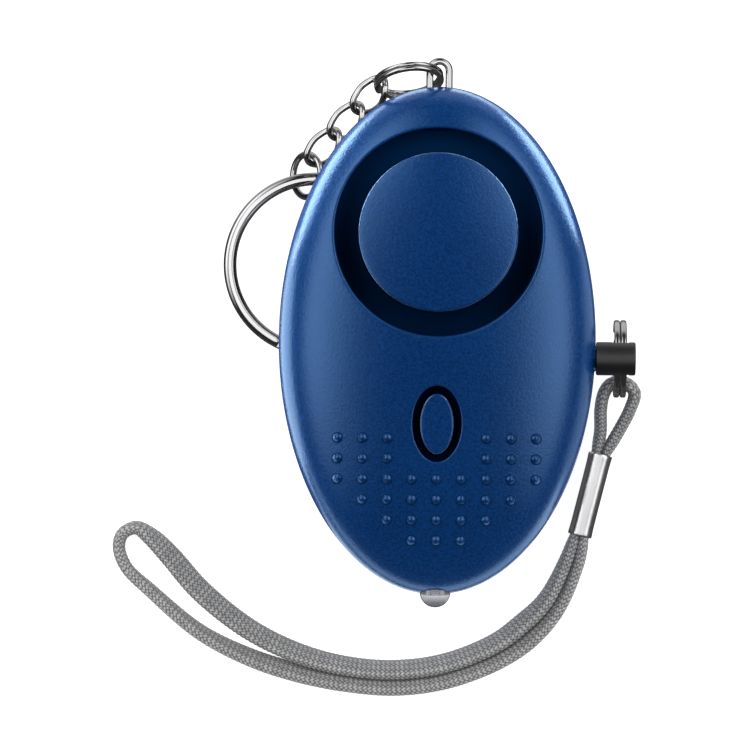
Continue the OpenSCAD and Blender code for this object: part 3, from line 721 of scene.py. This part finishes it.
def pull_pin():
    end = PIN_HEAD_X + PIN_HEAD_L
    face = PIN_HEAD_X - PIN_SEAT
    bevel_r = PIN_R - PIN_BEVEL
    profile = [(PIN_TIP_X + d, r) for d, r in PIN_POINT] + [(face, SHAFT_R), (face, bevel_r)]
    profile += [(face + PIN_BEVEL * (1 - cos(t)), bevel_r + PIN_BEVEL * sin(t))
                for t in quarter_turn(4)[1:]]
    profile += [(end - PIN_BEVEL + PIN_BEVEL * sin(t), bevel_r + PIN_BEVEL * cos(t))
                for t in quarter_turn(4)]
    profile += [(end - d, r) for d, r in PIN_DIMPLE]
    pin = turned_piece((0, PIN_Y, PART_Z), (1, 0, 0), profile, sides=64)
    obj = piece("pull_pin_visual", *pin, "pull_pin", black, ["pull_pin"], "black_plastic")
    cutter = slot_cutter()
    cut = obj.modifiers.new("slot", "BOOLEAN")
    cut.operation = "DIFFERENCE"
    cut.solver = "EXACT"
    cut.object = cutter
    bpy.context.view_layer.update()
    done = bpy.data.meshes.new_from_object(obj.evaluated_get(bpy.context.evaluated_depsgraph_get()))
    obj.modifiers.clear()
    obj.data = done
    bpy.data.objects.remove(cutter)
    smoothed(done, PIN_SHARP)


pull_pin()

# Rings of two turns of wire, which cross over at one place: degrees from the start of the wire
TURNS_FROM, TURNS_TO, CROSS_FROM, CROSS_OVER = 10, 710, 338, 44
TURN_POWER, TURN_THIN, TURN_END = 3.0, 0.97, 0.75
RING_START, SPLIT_START, KEY_START = 40, 200, 100
RING_SHARP = 50


def half_round(w, t, share, sides):
    """Section of a turn: flat against the other turn and round outside; share 0 is the lower turn."""
    a = full_turn(sides, 0.5)
    top = t * np.maximum(np.sin(a), 0) - t / 2
    low = t / 2 - t * np.maximum(-np.sin(a), 0)
    return np.stack([w / 2 * np.cos(a), low + (top - low) * share], 1)


def two_turns(mean, w, t, start, sides=20, steps=150, rounded=False):
    """Two turns of a wire w wide and t thick about a mean radius, from start degrees on."""
    a = np.radians(np.linspace(start + TURNS_FROM, start + TURNS_TO, 2 * steps))
    along = np.degrees(a) - start
    z = t * (smoothstep((along - CROSS_FROM) / CROSS_OVER) - 0.5)
    out = circle(a)
    centres = mean * out + z[:, None] * UP
    if rounded:
        section = np.array([half_round(w, t, share, sides) for share in z / t + 0.5])
    else:
        section = np.repeat(soft_rectangle(w, t * TURN_THIN, TURN_POWER, sides)[None], len(a), 0)
    section[[0, -1]] *= TURN_END
    return sweep(centres, out, np.cross(out, tangents(centres)), section)


def chrome_piece(name, geometry, sharp=RING_SHARP):
    """A chrome piece in place of the solid of its name, on the body of that name."""
    piece(name + "_visual", *geometry, name, chrome, [name], "chrome", sharp)


ring_axes = np.array([[0, 0, -1.0], [0, 1.0, 0], [1.0, 0, 0]])
ring_turns = two_turns(RING_MEAN, RING_W, RING_T, RING_START)
chrome_piece("strap_ring", placed(ring_turns, (RING_X, PIN_Y, PART_Z - RING_MEAN), ring_axes))

# The key chain, on the same lines as the solids; angles in degrees
SPLIT_MEAN, SPLIT_W, SPLIT_T, SPLIT_OUT = 5.2, 1.0, 0.75, 2.1
SPLIT_ALONG, SPLIT_ACROSS = (0.95, 0.22, 0.2), (-0.3, 0.35, 0.88)
CHAIN_HEADING, CHAIN_DROP = 228.4, 21.5
LINKS, LINK_HOOK, LINK_TURN, LINK_TWIST = 3, 1.7, -23, -45
JUMP_MEAN, JUMP_HOOK, JUMP_TILT, JUMP_ROUND, JUMP_END = 3.5, 1.2, 50, 53, 0.8
KEY_R, KEY_MEAN, KEY_W, KEY_T = 15, 13.95, 2.1, 0.85
KEY_AT, KEY_TILT, KEY_TURN = (-19.8, 12.2), 4.2, 155

split_along = unit(SPLIT_ALONG)
split_normal = unit(np.cross(split_along, SPLIT_ACROSS))
split_hang = np.array([0, HALF_L + SPLIT_OUT, PART_Z])
split_end = split_hang - 2 * SPLIT_MEAN * split_along
split_turns = two_turns(SPLIT_MEAN, SPLIT_W, SPLIT_T, SPLIT_START)
split_middle = split_hang - SPLIT_MEAN * split_along
chrome_piece("split_ring", placed(split_turns, split_middle, basis(split_along, split_normal)))

chain = direction(CHAIN_HEADING, -CHAIN_DROP)
split_side = np.cross(split_normal, split_along)
link_normal = turned(unit(split_side - (split_side @ chain) * chain), chain, LINK_TURN)
link_reach = LINK_L - LINK_WIRE
first_link = split_end + (link_reach / 2 - LINK_HOOK) * chain
chain_end = first_link + ((LINKS - 1) * LINK_PITCH + link_reach / 2) * chain


def curb_link():
    """An oval of wire with bowed sides, twisted along its length."""
    bend = (LINK_GAP + LINK_WIRE) / 2
    straight = LINK_L / 2 - LINK_WIRE / 2 - bend
    t = np.radians(np.linspace(-90, 90, 27))
    arc = np.stack([straight + bend * np.cos(t), bend * np.sin(t)], 1)
    run = np.stack([np.linspace(straight, -straight, 8)[1:-1], np.full(6, bend)], 1)
    outline = np.concatenate([arc, run, -arc, -run])
    bow = smoothstep(1 - np.abs(outline[:, 0]) / (straight + bend))
    outline[:, 1] += LINK_BOW * np.sign(outline[:, 1]) * bow
    twist = np.radians(LINK_TWIST) * outline[:, 0] / (link_reach / 2)
    path = np.stack([outline[:, 0], outline[:, 1] * np.cos(twist), outline[:, 1] * np.sin(twist)], 1)
    tangent = units(np.roll(path, -1, 0) - np.roll(path, 1, 0))
    up = np.stack([np.zeros_like(twist), -np.sin(twist), np.cos(twist)], 1)
    out = units(np.cross(tangent, up))
    return sweep(path, out, np.cross(out, tangent), round_section(LINK_ROUND, sides=16), closed=True)


for i in range(LINKS):
    link_at = first_link + i * LINK_PITCH * chain
    chrome_piece(f"chain_link_{i + 1}", placed(curb_link(), link_at, basis(chain, link_normal)), None)


def wire_ring(mean, d, steps=96):
    """One turn of round wire with a fine cut, drawn in at its ends."""
    out = circle(np.radians(np.linspace(1.0, 359.0, steps)))
    section = np.repeat(round_section(d, sides=18)[None], steps, 0)
    section[[0, -1]] *= JUMP_END
    return sweep(mean * out, out, np.repeat([UP], steps, 0), section)


jump_along = direction(0, JUMP_TILT)
jump_normal = direction(0, 90 + JUMP_TILT)
jump_out = sin(radians(JUMP_ROUND)) * np.array([0, 1.0, 0]) + cos(radians(JUMP_ROUND)) * jump_along
jump_middle = chain_end - JUMP_HOOK * chain - JUMP_MEAN * jump_out
jump_turn = wire_ring(JUMP_MEAN, LINK_ROUND)
chrome_piece("jump_ring", placed(jump_turn, jump_middle, basis(jump_along, jump_normal)))

key_tilt = radians(KEY_TILT)
key_middle = np.array([*KEY_AT, KEY_R * sin(key_tilt) + KEY_T * cos(key_tilt) + FIT])
key_axes = basis(direction(KEY_TURN, KEY_TILT), direction(KEY_TURN, 90 + KEY_TILT))
key_turns = two_turns(KEY_MEAN, KEY_W, KEY_T, KEY_START, sides=40, steps=220, rounded=True)
chrome_piece("key_ring", placed(key_turns, key_middle, key_axes))

# The staple, bent from one wire
STAPLE_D, STAPLE_GAP, STAPLE_OUT, STAPLE_IN = 1.2, 1.9, 4.7, 4.4
FOOT_BEND, FOOT_REACH, FOOT_TOP, STAPLE_STEPS = 0.5, 1.4, 0.8, 24


def staple():
    bend = (STAPLE_GAP + STAPLE_D) / 2
    apex = HALF_L + STAPLE_OUT - STAPLE_D / 2 - bend
    foot = HALF_L - STAPLE_IN
    right = [(bend + FOOT_REACH, foot)]
    right += [(bend + FOOT_BEND * (1 - sin(t)), foot + FOOT_BEND * (1 - cos(t)))
              for t in quarter_turn(5)]
    right += [(bend, y) for y in np.linspace(foot + FOOT_TOP, apex, 8)]
    arc_angles = [pi * i / STAPLE_STEPS for i in range(1, STAPLE_STEPS)]
    arc = [(bend * cos(t), apex + bend * sin(t)) for t in arc_angles]
    left = [(-x, y) for x, y in reversed(right)]
    path = np.array([(x, y, PART_Z) for x, y in right + arc + left])
    up = np.repeat([UP], len(path), 0)
    return sweep(path, np.cross(tangents(path), up), up, round_section(STAPLE_D, sides=18))


piece("staple_visual", *staple(), "alarm", chrome, ["staple"], "chrome", RING_SHARP)

# The wrist strap: places of its loop on the surface with its lean, and of its bend round the ring
STRAP_W, STRAP_T, FABRIC_T = 4.2, 1.8, 2.1
LOOP = [(21.3, -35.5, 10), (18, -42, 25), (14, -46, 35), (10, -49, 35), (2, -52.3, 35), (-6, -53.5, 35),
        (-14, -53, 35), (-22, -51, 40), (-30, -47.2, 45), (-38, -41, 50), (-43, -35.4, 45), (-46, -32.4, 30),
        (-48.6, -30.8, 10), (-50.8, -31.8, 0), (-51.4, -34, 0), (-50.2, -37.2, 0), (-46.2, -41, -10),
        (-38.2, -47.6, -20), (-30, -51.7, -30), (-22, -54.2, -35), (-14, -55.7, -35), (-6, -56.2, -35),
        (2.2, -55, -35), (10.8, -51.6, -35), (15.9, -48, -35), (20, -43.2, -25), (23.2, -36, -10)]
BIGHT = [(26.7, -14.6, 3.2), (26.7, -10.8, 4.8), (27.2, -8.2, 6.4), (28.2, -6.8, 7.1), (29.6, -6.4, 7.2),
         (31, -6.8, 7.1), (32.1, -8.2, 6.4), (31.4, -11, 4.8), (29.6, -14.6, 3.2)]
STRAP_EXIT = (29.6, -7.4, 7.2)

# The braid: yarns round the strap, their pitch, and the shapes of a yarn across and along its float
STRAP_STEP, STRAP_SIDES, STRAP_POWER, OUTLINE_POINTS = 0.115, 104, 2.6, 720
YARNS, YARN_PITCH, YARN_SHAPE = 16, 0.78, 0.55
FLOAT_SHAPE, FLOAT_END = 0.45, 0.02
STITCH_ROOM, STITCH_LIFT, BIGHT_PHASE = 0.14, 0.18, 0.4
DRAWN_LENGTH, DRAWN_IN = 4.5, (0.62, 0.8)
# Painted shade: the strap's flat sides darker than its edges
FLAT_SHADE = 0.72

# The crimped sleeve: distance along it and how far its outside stands out there
FERRULE_AT, FERRULE_HEADING, FERRULE_L, FERRULE_WALL = (26.8, -18.2), 256, 13.7, 0.35
FERRULE_PROFILE = [(0, -0.10), (0.12, -0.03), (0.3, 0.0), (0.7, -0.02), (1.6, -0.06), (4, -0.07), (7, -0.07),
                   (10, -0.07), (12.1, -0.06), (13.0, -0.02), (13.4, 0.0), (13.58, -0.03), (13.7, -0.10)]
FERRULE_HOLE, FERRULE_EDGE, FERRULE_SIDES, FERRULE_SHARP = (0.6, 13.1), 0.25, 64, 60
OUTER_POWER, INNER_POWER = 2.2, 2.4
STRAND_OFFSET, STRAND_INSIDE = 0.75, 2.0

ferrule_along = direction(FERRULE_HEADING, 0)
ferrule_side = np.array([-ferrule_along[1], ferrule_along[0], 0])
ferrule_h = STRAP_W + 2 * FERRULE_WALL
ferrule_start = np.array([*FERRULE_AT, ferrule_h / 2 + FIT])
ferrule_end = ferrule_start + FERRULE_L * ferrule_along


def lying(x, y, degrees):
    """A place of the strap on the surface, at the height that its lean gives it."""
    lean = radians(degrees)
    return [x, y, STRAP_W / 2 * cos(lean) + STRAP_T / 2 * abs(sin(lean)) + FIT, degrees]


def strap_line(sleeve_end, inwards, places):
    """A line out of the sleeve's end on one side, through places and back in on the other side."""
    strand = STRAND_OFFSET * ferrule_side
    inside = STRAND_INSIDE * inwards
    return [[*(sleeve_end - strand + inside), 0], [*(sleeve_end - strand), 0], *places,
            [*(sleeve_end + strand), 0], [*(sleeve_end + strand + inside), 0]]


def spline(points, step):
    """Smooth line through points of any number of values, at even steps, and its length."""
    p = np.asarray(points, float)
    knots = np.concatenate([[0], np.cumsum(np.linalg.norm(np.diff(p[:, :3], axis=0), axis=1) ** 0.5)])
    slopes = np.gradient(p, knots, axis=0)
    t = np.linspace(0, knots[-1], 4000)
    i = np.clip(np.searchsorted(knots, t) - 1, 0, len(knots) - 2)
    h = (knots[i + 1] - knots[i])[:, None]
    s = (t - knots[i])[:, None] / h
    fine = ((2 * s ** 3 - 3 * s ** 2 + 1) * p[i] + (s ** 3 - 2 * s ** 2 + s) * h * slopes[i]
            + (3 * s ** 2 - 2 * s ** 3) * p[i + 1] + (s ** 3 - s ** 2) * h * slopes[i + 1])
    run = distances(fine[:, :3])
    even = np.linspace(0, run[-1], int(run[-1] / step))
    return np.stack([np.interp(even, run, fine[:, k]) for k in range(fine.shape[1])], 1), run[-1]


def strap_section():
    """Points at even steps round the strap's outline, and the directions out of it."""
    outline = soft_rectangle(FABRIC_T - STITCH_ROOM, STRAP_W - STITCH_ROOM, STRAP_POWER, OUTLINE_POINTS)
    outline = np.concatenate([outline, outline[:1]])
    run = distances(outline)
    even = np.arange(STRAP_SIDES) / STRAP_SIDES * run[-1]
    section = np.stack([np.interp(even, run, outline[:, k]) for k in (0, 1)], 1)
    across = np.roll(section, -1, 0) - np.roll(section, 1, 0)
    return section, units(np.stack([across[:, 1], -across[:, 0]], 1))


def stitches(run, phase):
    """Height from 0 to 1 of a braid whose yarns go over two others and under two."""
    around = YARNS * (np.arange(STRAP_SIDES) / STRAP_SIDES)[None, :]
    first = around + run[:, None] / YARN_PITCH + phase
    second = around - run[:, None] / YARN_PITCH + phase
    cell = np.floor(first) + np.floor(second)
    over = cell % 4 < 2
    across = np.where(over, first, second)
    along = np.where(over, second, first)
    reach = (np.where(over, along % 1.0, 1 - along % 1.0) + cell % 2) / 2
    yarn_shape = np.sin(pi * (across % 1.0)) ** YARN_SHAPE
    float_shape = np.sin(pi * np.clip(reach, FLOAT_END, 1 - FLOAT_END)) ** FLOAT_SHAPE
    return yarn_shape * float_shape


def strap(name, places, replaced, phase):
    """A braided strap along places of (x, y, z, lean in degrees), drawn in at both ends."""
    line, length = spline(places, STRAP_STEP)
    centres = line[:, :3]
    lean = np.radians(line[:, 3])[:, None]
    tangent = tangents(centres)
    side = units(np.cross(UP, tangent))
    up = np.cross(tangent, side)
    thick = side * np.cos(lean) - up * np.sin(lean)
    wide = up * np.cos(lean) + side * np.sin(lean)
    section, normal = strap_section()
    run = np.linspace(0, length, len(centres))
    lift = stitches(run, phase)
    rings = section[None] + (lift * STITCH_LIFT - STITCH_LIFT / 2)[:, :, None] * normal[None]
    near = smoothstep(np.minimum(run, length - run) / DRAWN_LENGTH)[:, None, None]
    rings = rings * (near + (1 - near) * np.array(DRAWN_IN))
    obj = piece(name, *sweep(centres, thick, wide, rings), "pull_pin", yarn, replaced, "strap_grey")
    mark = obj.data.attributes.new("stitch_shade", "FLOAT", "POINT")
    # Painted light and shade: lighter on the stitches' tops, darker between them, and darker on the flat
    # sides
    shade = lift * (FLAT_SHADE + (1 - FLAT_SHADE) * normal[None, :, 1] ** 2)
    mark.data.foreach_set("value", shade.reshape(-1).astype(np.float32))
    return obj, centres, length


def ferrule():
    """A tube with its ends turned in."""
    w, h = 2 * STRAP_T + FERRULE_WALL, ferrule_h
    hole = soft_rectangle(w - 2 * FERRULE_EDGE, h - 2 * FERRULE_EDGE, INNER_POWER, FERRULE_SIDES)
    skin = [soft_rectangle(w + 2 * out, h + 2 * out, OUTER_POWER, FERRULE_SIDES)
            for _, out in FERRULE_PROFILE]
    along = np.array([FERRULE_HOLE[0], *[d for d, _ in FERRULE_PROFILE], FERRULE_HOLE[1]])
    count = len(along)
    centres = ferrule_start + along[:, None] * ferrule_along
    return sweep(centres, np.repeat([ferrule_side], count, 0), np.repeat([UP], count, 0),
                 np.array([hole, *skin, hole]), caps=False)


loop_line = strap_line(ferrule_end, -ferrule_along, [lying(*place) for place in LOOP])
bight_line = strap_line(ferrule_start, ferrule_along, [[*place, 0] for place in BIGHT])
loop, loop_path, loop_length = strap("strap_loop_visual", loop_line, ["strap_loop"], 0.0)
bight = strap("strap_bight_visual", bight_line, ["strap_bight"], BIGHT_PHASE)[0]
sleeve_obj = piece("ferrule_visual", *ferrule(), "pull_pin", sleeve, ["ferrule"], "chrome", FERRULE_SHARP)

in_metres(STRAP_EXIT).tolist()
in_metres(loop_path)[::4].tolist()

# Materials of the pieces inside, which stay as the solids are
inside = {"piezo_ring": foam, "piezo_disc": brass, "circuit_board": board, "boost_coil": coil,
          "driver_chip": black, "tact_switch": black, "switch_plunger": white, "led_leads": steel,
          "battery_tray": white, "button_cells": steel, "lower_contact": brass, "upper_contact": brass,
          "pin_socket": black, "switch_contacts": brass, "case_screws": steel}
for name, material in inside.items():
    nodes[name].data.materials.clear()
    nodes[name].data.materials.append(material)

# The floor, which glows so that it stays white round the part; half its size in metres
FLOOR_HALF, FLOOR_GLOW = 2, 0.9
floor_mesh = bpy.data.meshes.new("floor")
floor_corners = [(x * FLOOR_HALF, y * FLOOR_HALF, 0) for x, y in ((-1, -1), (1, -1), (1, 1), (-1, 1))]
floor_mesh.from_pydata(floor_corners, [], [(0, 1, 2, 3)])
floor = add_to_scene("floor", floor_mesh)
floor_mat, floor_tree, floor_bsdf = shader("floor_white", grey(0.9), rough=0.8, Emission_Color=(1, 1, 1, 1),
                                           Emission_Strength=FLOOR_GLOW)
floor_shade = ramp(floor_tree, noise(floor_tree, FLOOR_SCALE, 2), [(0.3, 0.88), (0.7, 0.92)])
floor_tree.links.new(floor_shade, floor_bsdf.inputs["Base Color"])
floor_mesh.materials.append(floor_mat)
floor.visible_glossy = False

# The studio as bright fields of the world: two tall soft boxes, the pale table and a low field behind.
# A field has an azimuth, the angle within which it is full and the angle at which it ends;
# its heights are pairs of elevation and share
BOX_LEFT, BOX_RIGHT, TABLE, BEHIND, DARK = 2.8, 2.7, 0.05, 0.8, 0.05
LEFT_FIELD, RIGHT_FIELD, BEHIND_FIELD = (156, 24, 58), (20, 24, 56), (95, 30, 70)
BOX_HEIGHTS = [(10, 0), (16, 0.3), (23, 0.85), (30, 1), (44, 0.82), (56, 0.42), (68, 0.1), (80, 0.0)]
TABLE_HEIGHTS = [(-60, 0.3), (-20, 1), (-8, 1), (-1, 0.1), (5, 0)]
BEHIND_HEIGHTS = [(-70, 0), (-45, 1), (-5, 1), (7, 0.2), (14, 0)]
LEAST_ACROSS = 0.0004
BACKDROP = (0.92, 0.92, 0.92, 1)

world = bpy.data.worlds.new("studio")
bpy.context.scene.world = world
world.use_nodes = True
sky_tree = world.node_tree
sky = sky_tree.nodes["Background"]
coords = sky_tree.nodes.new("ShaderNodeTexCoord")
split = sky_tree.nodes.new("ShaderNodeSeparateXYZ")
sky_tree.links.new(coords.outputs["Generated"], split.inputs["Vector"])


def math_node(operation, *values, clamp=False):
    node = sky_tree.nodes.new("ShaderNodeMath")
    node.operation = operation
    node.use_clamp = clamp
    for socket, value in zip(node.inputs, values):
        if hasattr(value, "is_linked"):
            sky_tree.links.new(value, socket)
        else:
            socket.default_value = value
    return node.outputs["Value"]


def chained(operation, *values):
    """One operation over all values in turn."""
    out = values[0]
    for value in values[1:]:
        out = math_node(operation, out, value)
    return out


def total(*values):
    return chained("ADD", *values)


def times(*values):
    return chained("MULTIPLY", *values)


def facing(azimuth, inner, outer):
    """Share towards an azimuth: 1 within inner degrees of it, 0 beyond outer."""
    a = radians(azimuth)
    towards = total(times(split.outputs["X"], cos(a)), times(split.outputs["Y"], sin(a)))
    across = math_node("SUBTRACT", 1.0, math_node("POWER", split.outputs["Z"], 2.0))
    cosine = math_node("DIVIDE", towards, math_node("SQRT", math_node("MAXIMUM", LEAST_ACROSS, across)))
    full, none = cos(radians(inner)), cos(radians(outer))
    return math_node("DIVIDE", math_node("SUBTRACT", cosine, none), full - none, clamp=True)


def by_height(stops):
    """A grey ramp over the elevation in degrees."""
    height = math_node("MULTIPLY_ADD", split.outputs["Z"], 0.5, 0.5)
    return ramp(sky_tree, height, [(0.5 + 0.5 * sin(radians(e)), v) for e, v in stops])


around = total(times(facing(*LEFT_FIELD), BOX_LEFT), times(facing(*RIGHT_FIELD), BOX_RIGHT))
boxes = times(by_height(BOX_HEIGHTS), around)
table = times(by_height(TABLE_HEIGHTS), TABLE)
behind = times(by_height(BEHIND_HEIGHTS), facing(*BEHIND_FIELD), BEHIND)
sky_tree.links.new(total(boxes, table, behind, DARK), sky.inputs["Strength"])
sky.inputs["Color"].default_value = (1, 1, 1, 1)
backdrop = sky_tree.nodes.new("ShaderNodeBackground")
backdrop.inputs["Color"].default_value = BACKDROP
rays = sky_tree.nodes.new("ShaderNodeLightPath")
choose = sky_tree.nodes.new("ShaderNodeMixShader")
sky_tree.links.new(rays.outputs["Is Camera Ray"], choose.inputs["Fac"])
sky_tree.links.new(sky.outputs["Background"], choose.inputs[1])
sky_tree.links.new(backdrop.outputs["Background"], choose.inputs[2])
sky_tree.links.new(choose.outputs["Shader"], sky_tree.nodes["World Output"].inputs["Surface"])


def area(name, place, turn, size, radiance, lit, colour=(1, 1, 1)):
    """A soft light over a rectangle, for the pieces of some materials."""
    data = bpy.data.lights.new(name, "AREA")
    data.shape = "RECTANGLE"
    data.size, data.size_y = size
    data.energy = pi * size[0] * size[1] * radiance
    data.color = colour
    obj = add_to_scene(name, data)
    obj.location = place
    obj.rotation_euler = [radians(v) for v in turn]
    obj.visible_camera = False
    group = bpy.data.collections.new(name + "_pieces")
    for other in bpy.data.objects:
        if other.type == "MESH" and any(m in lit for m in other.data.materials):
            group.objects.link(other)
    obj.light_linking.receiver_collection = group


# Light off the pale table beside the casing, seen in its rounded edge: middle, length and width,
# heading of the length, brightness
GLOW_Z, GLOW_COLOUR = 0.6, (0.76, 0.92, 0.96)
TABLE_GLOWS = {"left": ((-80.3, 63.3), (98, 50), 151, 11.0),
               "left_low": ((-86, -8), (98, 60), 180, 4.0),
               "right": ((76.5, 69), (98, 46), 34, 9.5),
               "right_low": ((86, -14), (98, 70), 0, 0.8),
               "top": ((-4, 57), (52, 14), 0, 3.4),
               "front": ((-16, -80), (160, 90), 0, 1.8)}
for name, (middle, size, heading, radiance) in TABLE_GLOWS.items():
    place = in_metres((*middle, GLOW_Z)).tolist()
    metres = (size[0] / 1000, size[1] / 1000)
    area(name + "_glow", place, (180, 0, heading), metres, radiance, [blue], GLOW_COLOUR)

# Lights from above in metres: side of the square, brightness, materials lit
OVERHEAD_Z = 0.9
OVERHEADS = {"overhead": (0.9, 1.2, [sleeve, yarn, black, lens]),
             "overhead_metal": (0.7, 2.2, [chrome])}
for name, (side, radiance, lit) in OVERHEADS.items():
    area(name, (0, 0, OVERHEAD_Z), (0, 0, 0), (side, side), radiance, lit)

# The camera, straight above; lengths in metres, the width of the view at the height of the casing's seam
CAMERA_AT, CAMERA_TURN = (-0.00862, -0.00695, 1.5), 0.5
SENSOR, VIEW_WIDTH, CLIP_END = 36, 0.1211, 20
camera_data = bpy.data.cameras.new("camera")
camera = add_to_scene("camera", camera_data)
camera.location = CAMERA_AT
camera.rotation_euler = (0, 0, radians(CAMERA_TURN))
camera_data.sensor_width = SENSOR
camera_data.lens = SENSOR * (CAMERA_AT[2] - PART_Z / 1000) / VIEW_WIDTH
camera_data.clip_end = CLIP_END
bpy.context.scene.camera = camera
bpy.context.scene.view_settings.view_transform = "Standard"
